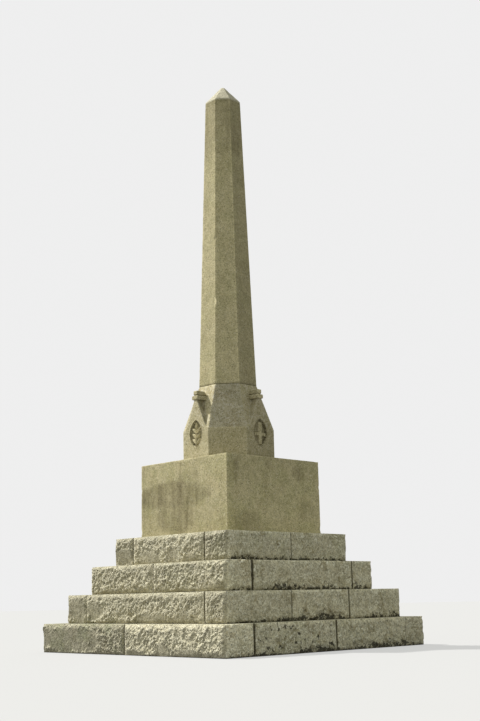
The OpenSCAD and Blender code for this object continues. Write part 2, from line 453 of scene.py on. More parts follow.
dieLook = {
    "pale": (0.56, 0.50, 0.31),
    "grey": (0.37, 0.33, 0.195),
    "mica": (0.12, 0.105, 0.065),
    "crystals": 120.0,
    "mottle": 0.48,
    "streaksPerMetre": 9.0,
    "patchSize": 0.45,
    "curlsPerMetre": 7.0,
    "blotchSize": 0.30,
    "crestsPerMetre": 40.0,
    "bumpDepth": 0.0014,
    "crestDepth": 0.0,
    # colour and strength of what lies on the stone, and of the painted shade in hollows and the painted
    # highlight on arrises
    "streaks": ((0.66, 0.64, 0.60), 0.55),
    "patches": ((0.83, 0.84, 0.78), 0.5),
    "film": ((0.76, 0.81, 0.66), 0.8),
    "crust": ((0.72, 0.68, 0.52), 0.4),
    "curls": ((0.66, 0.62, 0.47), 0.25),
    "blotches": ((0.74, 0.68, 0.55), 0.35),
    # painted shade in hollows, with some dirt
    "hollow": ((0.16, 0.15, 0.09), 0.5),
    # paler worn arrises with painted highlight
    "arris": ((0.68, 0.63, 0.47), 0.6),
    "stain": (0.40, 0.38, 0.33),
    "black": ((0.05, 0.045, 0.03), 0.9),
}

baseStoneLook = dict(
    dieLook,
    pale=(0.56, 0.50, 0.335),
    streaks=((0.66, 0.64, 0.60), 0.25),
    patches=((0.83, 0.84, 0.78), 0.35),
    crust=((0.72, 0.68, 0.52), 0.6),
    curls=((0.62, 0.58, 0.47), 0.5),
    stain=(0.27, 0.25, 0.19),
)
shaftLook = dict(dieLook, streaks=((0.66, 0.64, 0.60), 0.3), stain=(0.58, 0.57, 0.55))
fillingLook = dict(rockFacedLook, pale=(0.40, 0.39, 0.35), grey=(0.30, 0.29, 0.26))

graniteFinish = {
    "rainRuns": 0.5,             # how much the rain varies a stain
    "roughness": (0.78, 0.95),
    "specular": 0.25,
}


def makeGranite(name, look):
    finish = graniteFinish
    material = bpy.data.materials.new(name)
    material.use_nodes = True
    tree = material.node_tree
    shader = tree.nodes["Principled BSDF"].inputs

    def stored(label):
        return addNode(tree, "ShaderNodeAttribute", settings={"attribute_name": label}).outputs["Fac"]

    def tinted(under, mask, tint):
        return mixColour(tree, "MULTIPLY", 1.0, under, mixColour(tree, "MIX", mask, (1, 1, 1), tint))

    grain = placeGroup(
        tree, grainGroup, Pale=look["pale"], Grey=look["grey"], Mica=look["mica"],
        Crystals=look["crystals"], Mottle=look["mottle"],
    )
    weather = placeGroup(
        tree, weatherGroup, Streaks_Per_Metre=look["streaksPerMetre"], Patch_Size=look["patchSize"]
    )
    curl = placeGroup(
        tree, curlGroup, Curls_Per_Metre=look["curlsPerMetre"], Blotch_Size=look["blotchSize"]
    )
    damp = placeGroup(tree, dampGroup, Damp=stored("damp"), Rise=stored("rise"), Pits=stored("pits"))
    crusted = stored("crusted")
    tints = {
        "streaks": weather["Streaks"],
        "patches": weather["Patches"],
        "blotches": times(tree, curl["Blotches"], crusted),
        "film": times(tree, damp["Green"], stored("film")),
    }
    # arrises painted paler as wear and painted highlight, hollows darker as dirt and painted shade
    covers = {
        "crust": weather["Crust"],
        "curls": times(tree, curl["Curls"], crusted),
        "arris": stored("arris"),
        "hollow": stored("hollow"),
    }
    colour = grain["Colour"]
    for label, mask in tints.items():
        tint, share = look[label]
        colour = tinted(colour, times(tree, mask, share), tint)
    for label, mask in covers.items():
        paint, share = look[label]
        colour = mixColour(tree, "MIX", times(tree, mask, share), colour, paint)
    steady = 1 - finish["rainRuns"]
    runs = maths(tree, "ADD", times(tree, weather["Runs"], finish["rainRuns"]), steady)
    # stains and dirt, with painted shade on the gablets' roofs, in the finials' grooves and in the sunk
    # panels
    colour = tinted(colour, times(tree, stored("stain"), runs), look["stain"])
    paint, share = look["black"]
    colour = mixColour(tree, "MIX", times(tree, damp["Black"], share), colour, paint)
    # brightness of each point, from its tone and its painted light and shade
    tone = maths(tree, "ADD", stored("tone"), 1.0)
    full = maths(tree, "SUBTRACT", 1.0, stored("grey"))
    bright = addNode(tree, "ShaderNodeHueSaturation", Color=colour, Value=tone, Saturation=full)
    plug(tree, shader["Base Color"], bright.outputs["Color"])
    smoothest, roughest = finish["roughness"]
    rough = addNode(tree, "ShaderNodeMapRange", Value=grain["Height"], To_Min=smoothest, To_Max=roughest)
    plug(tree, shader["Roughness"], rough.outputs["Result"])
    plug(tree, shader["Specular IOR Level"], finish["specular"])
    bump = addNode(tree, "ShaderNodeBump", Height=grain["Height"], Distance=look["bumpDepth"])
    if look["crestDepth"]:
        broken = placeGroup(tree, breakGroup, Crests_Per_Metre=look["crestsPerMetre"])
        crests = times(tree, broken["Height"], stored("broken"))
        coarse = addNode(tree, "ShaderNodeBump", Height=crests, Distance=look["crestDepth"])
        plug(tree, bump.inputs["Normal"], coarse.outputs["Normal"])
    plug(tree, shader["Normal"], bump.outputs["Normal"])
    return material


rockFacedGranite = makeGranite("rock-faced granite", rockFacedLook)
dieGranite = makeGranite("dressed granite of the die", dieLook)
baseStoneGranite = makeGranite("dressed granite of the base stone", baseStoneLook)
shaftGranite = makeGranite("dressed granite of the shaft", shaftLook)
fillingStone = makeGranite("rubble filling", fillingLook)
print("Materials made")


# Sheets: grids of points that run along an outline and up through its heights

arcSteps = 4   # stretches of mesh round a corner


def outlineSides(corners, closed):
    # where each side starts and ends
    corners = np.asarray(corners, float)
    if closed:
        return corners, np.roll(corners, -1, 0)
    return corners[:-1], corners[1:]


def traceOutline(corners, insets, radii, counts, closed):
    # points and outward directions along the outline, moved in by each side's inset
    starts, ends = outlineSides(corners, closed)
    along = (ends - starts) / np.linalg.norm(ends - starts, axis=1)[:, None]
    outward = np.stack([along[:, 1], -along[:, 0]], 1)
    sides = len(counts)
    arcs = {}
    for i in range(sides if closed else sides - 1):
        j = (i + 1) % sides
        corner = ends[i]
        cosine = outward[i] @ outward[j]
        turn = math.acos(cosine)
        radius = radii[i]
        a, b = max(radius, insets[i]), max(radius, insets[j])
        middle = corner + ((cosine * b - a) * outward[i] + (cosine * a - b) * outward[j]) / (1 - cosine ** 2)
        arc = []
        for k in range(arcSteps + 1):
            t = k / arcSteps * turn
            partA = math.sin(turn - t) / math.sin(turn) * outward[i]
            partB = math.sin(t) / math.sin(turn) * outward[j]
            arc.append((middle + partA * (a - insets[i]) + partB * (b - insets[j]), partA + partB))
        arcs[i] = arc
    points, directions = [], []
    for i in range(sides):
        before = arcs.get((i - 1) % sides) if closed or i > 0 else None
        first = before[-1][0] if before else starts[i] - outward[i] * insets[i]
        last = arcs[i][0][0] if i in arcs else ends[i] - outward[i] * insets[i]
        for k in range(counts[i] + 1):
            points.append(first + (last - first) * k / counts[i])
            directions.append(outward[i])
        for point, direction in (arcs[i][1:-1] if i in arcs else []):
            points.append(point)
            directions.append(direction)
    return np.array(points), np.array(directions)


def measureOutline(corners, counts, closed):
    # for each point along the outline: its side, and how far it is from the side's two ends
    starts, ends = outlineSides(corners, closed)
    side, behind, ahead = [], [], []
    for i, count in enumerate(counts):
        length = np.linalg.norm(ends[i] - starts[i])
        for k in range(count + 1):
            side.append(i)
            behind.append(length * k / count)
            ahead.append(length * (1 - k / count))
        if closed or i < len(counts) - 1:
            for _ in range(arcSteps - 1):
                side.append(i)
                behind.append(length)
                ahead.append(0.0)
    return np.array(side), np.array(behind), np.array(ahead)


def roundedEdge(radius, angles):
    # how far in and how far down the points of a rounded edge lie, at so many degrees round it
    turns = [math.radians(angle) for angle in angles]
    return [(radius * (1 - math.cos(a)), radius * (1 - math.sin(a))) for a in turns]


def gridFaces(rows, columns, closed):
    faces = []
    for r in range(rows - 1):
        for c in range(columns if closed else columns - 1):
            d = (c + 1) % columns
            faces.append((r * columns + c, r * columns + d, (r + 1) * columns + d, (r + 1) * columns + c))
    return faces


mergeDistance = 0.0003   # points closer than this become one
workedArea = 0.01        # larger faces stay flat


def buildSheet(name, grid, closed, rest, low, high, masks):
    # grid holds rows of points; rest holds the plan corners behind an open outline
    rows, columns = grid.shape[:2]
    masks = {label: np.broadcast_to(values, (rows, columns)) for label, values in masks.items()}
    points = list(grid.reshape(-1, 3))
    faces = gridFaces(rows, columns, closed)
    base = rows * columns
    for x, y in rest:
        points += [np.array((x, y, low)), np.array((x, y, high))]
    feet = [base + 2 * k for k in range(len(rest))]
    tops = [foot + 1 for foot in feet]
    faces.append([*range(base - columns, base), *tops])
    faces.append([*reversed(feet), *reversed(range(columns))])
    if rest:
        faces.append([feet[0], tops[0], *reversed(range(columns - 1, base, columns))])
        faces.append([*range(0, base, columns), tops[-1], feet[-1]])
        for k in range(len(rest) - 1):
            faces.append([feet[k], feet[k + 1], tops[k + 1], tops[k]])
    piece = meshPiece(name, points, faces)
    behind = np.zeros(2 * len(rest))
    storeMasks(piece, **{label: np.append(values.ravel(), behind) for label, values in masks.items()})
    tidy = bmesh.new()
    tidy.from_mesh(piece.data)
    bmesh.ops.remove_doubles(tidy, verts=tidy.verts, dist=mergeDistance)
    bmesh.ops.recalc_face_normals(tidy, faces=tidy.faces)
    for face in tidy.faces:
        face.smooth = len(face.verts) <= 4 and face.calc_area() < workedArea
    tidy.to_mesh(piece.data)
    tidy.free()
    # the flat top takes the middle value of the row round it
    for face in manySided(piece.data):
        if face.normal.z > 0.9:
            for label, values in masks.items():
                level = float(np.median(values[-1]))
                for corner in face.vertices:
                    piece.data.attributes[label].data[corner].value = level
    return piece


# Steps: rock-faced blocks

blockLook = {
    "spacing": 0.009,            # between neighbouring points of a rough face
    "calmSpacing": 0.0115,       # and of the calmer front and right faces
    "arrisRound": 0.007,         # worn rounding of the top arrises
    "bedRound": 0.005,           # and of the arrises on the bed below
    "jointRound": 0.004,         # and of the upright arrises beside a joint
    "cornerRound": 0.010,        # and of a step's outer corners
    "jointDepth": 0.06,          # how far the mesh turns back into a joint
    "treadRows": (0.016, 0.034, 0.038),      # rows of points behind the top arris
    "margin": (0.022, 0.085),    # width of the slopes along the edges of a face
    "bedMargin": 0.8,            # share of it along the bed
    "cornerMargin": 0.7,         # and beside an outer corner
    "swell": 0.006,              # least height of a face inside its margins
    "scoopHeight": 0.018,        # height of the ridges between large hollows
    "scoopLength": (0.06, 0.16),
    "scoopSlant": (20, 70),      # degrees
    "scoopArea": 0.006,          # square metres of the face for each of them
    "chipHeight": 0.0075,        # height of the ridges between small hollows
    "chipLength": (0.015, 0.036),
    "chipSlant": (0, 180),
    "chipArea": 0.0011,
    "bowlShape": (0.4, 0.75),    # width of a hollow beside its length
    "bowlFloor": (0.0, 0.45),    # how high its floor lies, as a share of the ridges' height
    "bowlMargin": 0.1,           # how far past a face's ends hollows may lie
    "crestHeight": 0.013,        # height of the sharp crests between them
    "crestSize": 0.030,
    "crestSlant": 55.0,          # degrees
    "crestStretch": 1.35,        # length of a crest beside its width
    "grain": 0.0012,
    "undercut": 0.011,
    "arrisChip": 0.030,
    "openJoint": 0.0022,         # how far a joint opens towards the face
    "calmSides": 0.62,           # relief of the front and right sides beside the others'
    "calmSideLight": 0.30,            # painted light: how much brighter those sides are
    "roughSideLight": 0.25,           # painted light: and the others
    "treadShade": -0.13,          # and the treads, darker as painted shade where the sun falls full on them
    "treadShare": 0.3,           # share of a block's own brightness that its tread keeps
    "treadCrust": 0.6,           # share of the pale crust on the treads
    "hollowTop": 0.021,          # height of a smooth hollow's upper edge
    # painted shade of the smooth hollows, which face down towards the bed
    "hollowShade": -0.40,
    "ridgeHighlight": 0.42,            # painted highlight of the ridges between smooth hollows
    "jointTone": -0.55,          # of the stone inside a joint
    "paleLine": 0.007,           # half the width of a ridge and its painted highlight
    "hollowRagged": 0.6,         # how uneven the outlines of smooth hollows are
    "hollowRough": 0.18,         # share of the relief that stays in them
    "lineHeight": 0.005,         # how far a pale line stands out
    "shellDepth": 0.010,         # of the shells broken off a foot
    "shellRagged": 0.22,
    "shellEdge": 0.13,           # width of their dark edge, as a share of their size
    "shellDamp": 1.6,
    "damp": 0.8,                 # black growth on the calmer faces, where dampFeet doesn't say
    "roughDamp": 0.12,           # and on the others
    "fallHeight": 0.10,          # from here down a face falls back to its bed
    "fallShare": 0.35,           # mean share of the undercut that it falls back
    "leastChip": 0.0015,         # wear of every top arris
    "chipGaps": 0.22,            # higher leaves more of the top arris whole
    "chipDepth": 0.6,            # how far a chip cuts down, and how far it spreads, beside its size
    "chipSpread": 1.7,
    "cornerChip": 0.020,         # wear of the outer corners
    "cornerReach": 0.030,        # how far along the face their wear goes
    "cornerTop": 0.02,           # depth below the tread over which it sets in
    "openReach": 0.05,           # how far along the face an open joint widens
    "openMean": 0.7,             # mean share of its width, how much it varies, and its limits
    "openRagged": 0.8,
    "openLimits": (0.2, 1.6),
    "jointShade": 0.015,         # how far into a joint it gets dark
    "jointDirt": 0.010,          # width of the dirt beside a joint
    "bedDirt": 0.012,            # and height of that along a bed
    "roughCrust": 0.35,          # share of the curled crust on the rougher faces
    "calmBreaks": 0.35,          # share of the sharp crests on the calmer ones
    "hollowLoss": 0.75,          # share of them that smooth hollows lose
    "toneSpread": 0.06,          # how far the brightness of blocks outside blockTones strays
    "filmSpread": 0.25,          # and how much lichen film they have at most
    "climb": 0.75,               # mean height of the black growth, how much it varies, and the most
    "climbRagged": 1.1,
    "climbMost": 1.3,
}

# Noise over the blocks: size of its broadest waves, octaves and the first block's seed
blockNoise = {
    "margin": (0.16, 2, 7),      # width of the slopes along the edges of a face
    "grain": (0.025, 2, 50),
    "foot": (0.35, 2, 300),      # how far a face falls back to its bed
    "arris": (0.075, 2, 400),    # chips of the top arris
    "corner": (0.06, 2, 500),    # and of the outer corners
    "joint": (0.05, 3, 600),     # how far a joint opens
    "climb": (0.45, 2, 700),     # how high the black growth climbs
    "hollow": (0.07, 2, 900),    # outlines of the smooth hollows
    "shell": (0.05, 2, 950),     # and of the shells
}

# How far the joints at the two ends of a block have opened. Below 0 they are filled to the face.
openJoints = {
    "step4_back_1": (0.002, 0.001),
    "step4_left_1": (0.001, 0.021),
    "step4_front_1": (0.006, 0.0),
    "step4_front_2": (0.0, 0.002),
    "step3_left_1": (0.002, 0.009),
    "step3_front_1": (0.022, 0.002),
    "step2_back_1": (0.002, -0.0025),
    "step2_left_1": (-0.0025, 0.007),
    "step2_front_1": (0.004, 0.0),
    "step2_front_2": (0.0, 0.002),
    "step1_left_1": (0.002, 0.010),
    "step1_front_1": (0.014, 0.003),
    "step1_front_2": (0.009, -0.0025),
    "step1_right_1": (-0.0025, 0.002),
}

# Brightness, lichen film, and black pits of blocks that stand out
blockTones = {
    "step1_left_2": (-0.05, 0.9, 0.0),
    "step1_left_1": (0.33, 0.1, 0.0),
    "step1_front_1": (0.06, 0.4, 1.0),
    "step1_front_2": (0.12, 0.2, 0.3),
    "step2_left_1": (0.09, 0.1, 0.0),
    "step2_front_1": (-0.05, 0.1, 0.0),
    "step2_front_2": (0.06, 0.1, 0.0),
    "step3_left_2": (0.10, 0.1, 0.0),
    "step3_left_1": (0.12, 0.2, 0.0),
    "step4_left_1": (0.19, 0.1, 0.0),
    "step4_front_1": (-0.08, 0.4, 0.0),
    "step4_front_2": (-0.07, 0.4, 0.0),
    "step4_back_1": (0.03, 0.1, 0.0),
}

# Smooth hollows of the left faces, which slope in towards the bed: distance along the face and
# height of their middle, half their length and height, and their depth at the foot
smoothHollows = {
    "step4_left_1": (
        (0.34, 0.06, 0.27, 0.13, 0.010),
        (0.85, 0.08, 0.15, 0.15, 0.012),
        (1.25, 0.02, 0.22, 0.09, 0.012),
    ),
    "step4_back_1": ((0.2, 0.12, 0.3, 0.12, 0.004),),
    "step3_left_2": ((0.45, 0.0, 0.30, 0.07, 0.008), (1.15, 0.02, 0.16, 0.06, 0.008)),
    "step3_left_1": ((0.75, 0.0, 0.45, 0.06, 0.010), (1.20, 0.02, 0.30, 0.09, 0.012)),
    "step2_left_1": (
        (0.20, 0.17, 0.24, 0.14, 0.010),
        (1.42, 0.0, 0.42, 0.14, 0.014),
        (2.05, 0.02, 0.26, 0.15, 0.016),
    ),
    "step2_back_1": ((0.20, 0.17, 0.34, 0.18, 0.004),),
    "step1_left_1": (
        (0.78, 0.04, 0.14, 0.12, 0.014),
        (1.25, 0.0, 0.34, 0.09, 0.010),
        (0.15, 0.02, 0.2, 0.06, 0.008),
    ),
    "step1_left_2": ((0.58, 0.17, 0.80, 0.19, 0.002),),
}

# Ends of the left faces that fall back towards the joint at their front, and over what width
wornEnds = {"step4_left_1": 0.10, "step3_left_2": 0.09, "step2_left_1": 0.17}

# Ridges between the hollows of the left faces, raised a little and painted pale as highlight, from one point
# of the face to another
litRidges = {"step4_left_1": ((0.67, 0.24, 0.62, 0.0), (1.19, 0.20, 1.02, 0.0))}

# Shells broken off the feet of the front faces: middle along the face, half their length, their
# height and how dark their edge is
footShells = {
    "step4_front_1": ((0.34, 0.21, 0.065, 1.0), (0.80, 0.16, 0.035, 0.4)),
    "step3_left_1": ((0.30, 0.14, 0.060, 0.6),),
    "step2_front_2": ((0.23, 0.10, 0.125, 0.7), (0.60, 0.19, 0.120, 1.0), (0.83, 0.20, 0.090, 0.8)),
    "step1_front_2": ((0.55, 0.28, 0.110, 0.6), (1.10, 0.30, 0.080, 0.5)),
    "step1_front_1": ((1.15, 0.26, 0.080, 0.8),),
}

# How high the black growth climbs the feet of the blocks
dampFeet = {
    "step4_front_1": 0.8, "step4_front_2": 1.0,
    "step3_left_1": 0.6, "step3_front_1": 1.35, "step3_right_1": 1.5,
    "step2_front_1": 0.9, "step2_front_2": 1.9, "step2_front_3": 1.4,
    "step1_left_1": 0.6, "step1_front_1": 1.0, "step1_front_2": 1.5,
}


def uneven(kind, points, block):
    size, octaves, seed = blockNoise[kind]
    return fractalNoise(points, size, octaves, seed + block.index)


def brokenCrests(along, height, index):
    # sharp crests that climb the face at a slant, from 0 in the troughs to 1 on the crests
    look = blockLook
    slant = math.radians(look["crestSlant"])
    climb = (along * math.cos(slant) + height * math.sin(slant)) / look["crestStretch"]
    across = height * math.cos(slant) - along * math.sin(slant)
    place = np.stack([climb, across, np.full(along.shape, 0.37 * index)], -1)
    total, size, weight = 0.0, look["crestSize"], 0.6
    for octave in range(3):
        total = total + weight * (1 - abs(smoothNoise(place / size, 800 + octave)) * 2)
        size *= 0.5
        weight *= 0.5
    return total


def pointToLine(u, v, startU, startV, endU, endV):
    # distance from points to the straight line between two others
    runU, runV = endU - startU, endV - startV
    share = np.clip(((u - startU) * runU + (v - startV) * runV) / (runU ** 2 + runV ** 2), 0, 1)
    return np.hypot(u - startU - share * runU, v - startV - share * runV)


def scoopedField(along, height, length, tall, kind, rng):
    # the lower edge of many overlapping bowls, from 0 in the bowls to about 1 on the ridges
    look = blockLook
    past = look["bowlMargin"]
    field = np.full(along.shape, 1.0)
    for _ in range(int((length + 2 * past) * (tall + past) / look[kind + "Area"])):
        u = rng.uniform(-past, length + past)
        v = rng.uniform(-past / 2, tall + past / 2)
        slant = math.radians(rng.uniform(*look[kind + "Slant"]))
        long = rng.uniform(*look[kind + "Length"])
        across = long * rng.uniform(*look["bowlShape"])
        floor = rng.uniform(*look["bowlFloor"])
        du, dv = along - u, height - v
        p = (du * math.cos(slant) + dv * math.sin(slant)) / long
        q = (dv * math.cos(slant) - du * math.sin(slant)) / across
        field = np.minimum(field, floor + p * p + q * q)
    return field


def blockPlan(name, node):
    # corners from the first visible face on, where that face looks, and how many faces are visible
    low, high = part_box(name)
    points = pointArray(node.data)
    crown = points[points[:, 2] > high.z - 0.0001]
    near, far = crown.min(0), crown.max(0)
    swells = (near[1] - low.y, high.x - far[0], high.y - far[1], near[0] - low.x)
    shows = [swell > 0.001 for swell in swells]   # front, right, back, left
    plan = [np.array(c) for c in ((near[0], near[1]), (far[0], near[1]), (far[0], far[1]), (near[0], far[1]))]
    first = next(k for k in range(4) if shows[k] and not shows[k - 1])
    return [plan[(first + k) % 4] for k in range(4)], first, sum(shows)


def blockRows(tall):
    # how far in and how high each row of points lies, from the bed to the tread
    look = blockLook
    bed, arris = look["bedRound"], look["arrisRound"]
    steps = round(tall / look["spacing"])
    rows = roundedEdge(bed, (90, 45))
    rows += [(0.0, bed + (tall - arris - bed) * k / steps) for k in range(steps + 1)]
    rows += [(inset, tall - drop) for inset, drop in roundedEdge(arris, (22.5, 45, 67.5, 90))]
    rows += [(inset, tall) for inset in look["treadRows"]]
    return np.array(rows)


farAway = 9.0          # stands for the distance to an end that a face doesn't have
jointSteps = 3         # stretches of mesh inside a joint
calmFacings = (0, 1)   # the front and the right; 2 is the back and 3 the left


def layOutBlock(name, node, index):
    # the points of a block's plain faces, and how far each is from the faces' ends and corner
    look = blockLook
    low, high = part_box(name)
    turned, first, faceCount = blockPlan(name, node)
    lengths = [np.linalg.norm(turned[k + 1] - turned[k]) for k in range(faceCount)]
    facings = [(first + k) % 4 for k in range(faceCount)]

    def inward(corner, towards):
        return corner + (towards - corner) / np.linalg.norm(towards - corner) * look["jointDepth"]

    beyond = inward(turned[faceCount], turned[(faceCount + 1) % 4])
    corners = [inward(turned[0], turned[3]), *turned[:faceCount + 1], beyond]
    apart = [look["calmSpacing"] if facing in calmFacings else look["spacing"] for facing in facings]
    counts = [jointSteps, *(round(length / step) for length, step in zip(lengths, apart)), jointSteps]
    radii = [look["jointRound"]] + [look["cornerRound"]] * (faceCount - 1) + [look["jointRound"]]
    rows = blockRows(high.z - low.z)
    moved = [[0] + [inset] * faceCount + [0] for inset, _ in rows]
    traced = [traceOutline(corners, insets, radii, counts, False) for insets in moved]
    plane, normal = (np.array(part) for part in zip(*traced))
    insets, heights = rows[:, :1], rows[:, 1:]
    side, behind, ahead = measureOutline(corners, counts, False)
    toStart = np.where(side == 1, behind, np.where(side == 0, -ahead, farAway))
    toEnd = np.where(side == faceCount, ahead, np.where(side > faceCount, -behind, farAway))
    toCorner = np.full(len(side), farAway)
    if faceCount == 2:
        toCorner = np.where(side == 1, ahead, np.where(side == 2, behind, farAway))
    opening = openJoints.get(name, (look["openJoint"], look["openJoint"]))
    return SimpleNamespace(
        name=name, index=index, low=low.z, high=high.z, tall=high.z - low.z,
        turned=turned, faceCount=faceCount, lengths=lengths, facings=facings,
        where=np.dstack([plane, np.broadcast_to(heights + low.z, plane.shape[:2])]), normal=normal,
        insets=insets, heights=heights, upright=insets < look["arrisRound"],
        side=side, behind=behind, onFace=(side > 0) & (side <= faceCount),
        toStart=toStart, toEnd=toEnd, toCorner=toCorner,
        joints=(
            (opening[0], toStart, turned[1] - turned[0]),
            (opening[1], toEnd, turned[faceCount - 1] - turned[faceCount]),
        ),
    )


def addHollows(block, u, v, place, rough):
    # the relief with its smooth hollows, how far each point lies in them, and the ridges between, painted
    # pale as highlight
    look = blockLook
    calmed, pale = np.zeros(u.shape), np.zeros(u.shape)
    for middle, rise, halfLength, halfHeight, depth in smoothHollows.get(block.name, ()):
        inside = ovalField(u, v, middle, rise, halfLength, halfHeight)
        inside = inside + look["hollowRagged"] * uneven("hollow", place, block)
        slope = look["hollowTop"] - (look["hollowTop"] + depth) * (rise + halfHeight - v) / (2 * halfHeight)
        smooth = ease(2.5 * inside)
        rough = rough + (look["hollowRough"] * (rough - rough.mean()) + slope - rough) * smooth
        calmed = np.maximum(calmed, smooth)
    for line in litRidges.get(block.name, ()):
        pale = np.maximum(pale, bell(pointToLine(u, v, *line), look["paleLine"]))
    return rough + look["lineHeight"] * pale, calmed, pale


def addShells(block, u, v, place, rough):
    # the relief with the shells broken off its foot, their dark edges, and their damp
    look = blockLook
    edges, wet = np.zeros(u.shape), np.zeros(u.shape)
    for middle, halfLength, rise, dark in footShells.get(block.name, ()):
        reach = np.hypot((u - middle) / halfLength, v / rise)
        reach = reach + look["shellRagged"] * uneven("shell", place, block)
        inside = ease(2 * (1 - reach))
        edges = np.maximum(edges, dark * bell(reach - 1, look["shellEdge"]))
        wet = np.maximum(wet, look["shellDamp"] * dark * inside)
        rough = rough - look["shellDepth"] * inside
    return rough, edges, wet


def edgeSlopes(block):
    # 0 along the edges of each face and 1 on the rest of it
    look = blockLook
    least, most = look["margin"]
    margin = least + (most - least) * np.clip(0.5 + 0.9 * uneven("margin", block.where, block), 0, 1)
    mask = steepEase((block.tall - look["arrisRound"] - block.heights) / margin)
    mask = mask * steepEase((block.heights - look["bedRound"]) / (margin * look["bedMargin"]))
    mask = mask * steepEase(block.toStart / margin) * steepEase(block.toEnd / margin)
    mask = mask * steepEase(block.toCorner / (margin * look["cornerMargin"])) * block.onFace
    if block.name in wornEnds:
        worn = np.clip(block.toEnd / wornEnds[block.name], 0, 1) ** 0.8
        mask = mask * np.where(block.side == block.faceCount, worn, 1.0)
    return mask


def faceRelief(block, rng):
    # the relief of each face, and what its weathering takes from it
    look = blockLook
    shape = block.where.shape[:2]
    relief, pale, calmed, shells, wet = (np.zeros(shape) for _ in range(5))
    damp, calm = np.zeros(shape[1]), np.zeros(shape[1], bool)
    for k, facing in enumerate(block.facings):
        here = block.side == k + 1
        place = block.where[:, here]
        u = np.broadcast_to(block.behind[here], place.shape[:2])
        v = np.broadcast_to(block.heights, u.shape)
        large = scoopedField(u, v, block.lengths[k], block.tall, "scoop", rng)
        small = scoopedField(u, v, block.lengths[k], block.tall, "chip", rng)
        calm[here] = facing in calmFacings
        share = look["calmSides"] if facing in calmFacings else 1.0
        crests = share * share * look["crestHeight"] * brokenCrests(u, v, 4 * block.index + k)
        rough = share * (look["scoopHeight"] * large + look["chipHeight"] * (small - 0.5) + crests)
        if facing == 3:
            rough, calmed[:, here], pale[:, here] = addHollows(block, u, v, place, rough)
        if facing == 0:
            rough, shells[:, here], wet[:, here] = addShells(block, u, v, place, rough)
        relief[:, here] = look["swell"] + rough
        damp[here] = dampFeet.get(block.name, look["damp"]) if facing in calmFacings else look["roughDamp"]
    relief = relief + look["grain"] * uneven("grain", block.where, block)
    return relief, SimpleNamespace(pale=pale, calmed=calmed, shells=shells, wet=wet, damp=damp, calm=calm)


def breakBlock(block, out):
    # the faces move out, their feet fall back to the bed, and the arrises are chipped
    look = blockLook
    below = block.tall - block.heights
    plan = block.where * (1, 1, 0)
    falling = np.clip(look["fallShare"] + uneven("foot", plan, block), 0, 1)
    falling = falling * fade(block.heights, look["fallHeight"]) ** 2
    chip = np.clip(uneven("arris", plan, block) - look["chipGaps"], 0, 1) * look["arrisChip"]
    chip = (chip + look["leastChip"]) * block.onFace
    bite = look["chipDepth"] * chip * fade(below + block.insets, look["chipSpread"] * chip + 0.000001)
    knock = np.clip(uneven("corner", block.where, block) + 0.1, 0, 1) * look["cornerChip"] * block.upright
    knock = knock * fade(block.toCorner, look["cornerReach"]) * np.clip(below / look["cornerTop"], 0, 1)
    out = out - block.onFace * look["undercut"] * falling - bite - knock
    block.where[..., :2] += block.normal * out[..., None]
    block.where[..., 2] -= bite


def openBlock(block):
    # the joints open towards the face
    look = blockLook
    ragged = look["openMean"] + look["openRagged"] * uneven("joint", block.where * (0.2, 0.2, 1), block)
    for width, distance, along in block.joints:
        beside = fade(distance, look["openReach"])
        taper = np.where(distance < 0, 1 + distance / look["jointDepth"], beside)
        along = along / np.linalg.norm(along)
        block.where[..., :2] += along * (width * np.clip(ragged, *look["openLimits"]) * taper)[..., None]


def weatherBlock(block, faces, rng):
    look = blockLook
    stray = rng.uniform(-look["toneSpread"], look["toneSpread"])
    tone, film, pits = blockTones.get(block.name, (stray, rng.uniform(0, look["filmSpread"]), 0.0))
    jointDirt = 0.0
    for width, distance, _ in block.joints:
        share = min(max(0.4 + width / 0.004, 0), 1)   # a joint that is filled to the face holds none
        jointDirt = np.maximum(jointDirt, share * fade(distance, look["jointDirt"]))
    climb = look["climb"] + look["climbRagged"] * uneven("climb", block.where * (1, 1, 0), block)
    climb = np.clip(climb, 0, look["climbMost"])
    # each face's tone with the painted light of its side, the painted shade of smooth hollows and the painted
    # highlight of ridges
    faceToneAndLight = tone + np.where(faces.calm, look["calmSideLight"], look["roughSideLight"])
    faceToneAndLight = faceToneAndLight + look["ridgeHighlight"] * faces.pale + look["hollowShade"] * faces.calmed
    # the tread keeps a share of the block's tone and is darkened as painted shade
    treadShade = tone * look["treadShare"] + look["treadShade"]
    inJoint = np.clip(0.2 - np.minimum(block.toStart, block.toEnd) / look["jointShade"], 0, 1)
    crust = np.where(faces.calm, 1.0, look["roughCrust"])
    breaks = np.where(faces.calm, look["calmBreaks"], 1.0)
    return {
        "rise": block.heights,
        "damp": block.upright * (faces.wet + faces.damp * climb),
        "tone": np.where(block.upright, faceToneAndLight, treadShade) + look["jointTone"] * inJoint,
        "film": film,
        "pits": pits * block.upright * block.onFace * faces.calm,
        "stain": np.maximum(np.maximum(jointDirt, fade(block.heights, look["bedDirt"])), faces.shells),
        "crusted": np.where(block.upright, crust, look["treadCrust"]),
        "broken": breaks * block.upright * (1 - look["hollowLoss"] * faces.calmed),
    }


def makeBlock(name, node, index):
    rng = np.random.default_rng(100 + index)
    block = layOutBlock(name, node, index)
    relief, faces = faceRelief(block, rng)
    breakBlock(block, edgeSlopes(block) * relief)
    openBlock(block)
    masks = weatherBlock(block, faces, rng)
    rest = block.turned[block.faceCount + 1:]
    piece = buildSheet("rock_face_" + name, block.where, False, rest, block.low, block.high, masks)
    markBends(piece, gain=1.6, passes=1)
    finishPiece(piece, "rock_faced_granite", rockFacedGranite, name)


blockNames = sorted(name for name in nodes if name.startswith("step"))
for index, name in enumerate(blockNames):
    makeBlock(name, nodes[name], index)
print("Steps made of", len(blockNames), "blocks")


# Dressed stones: the die and the shaft

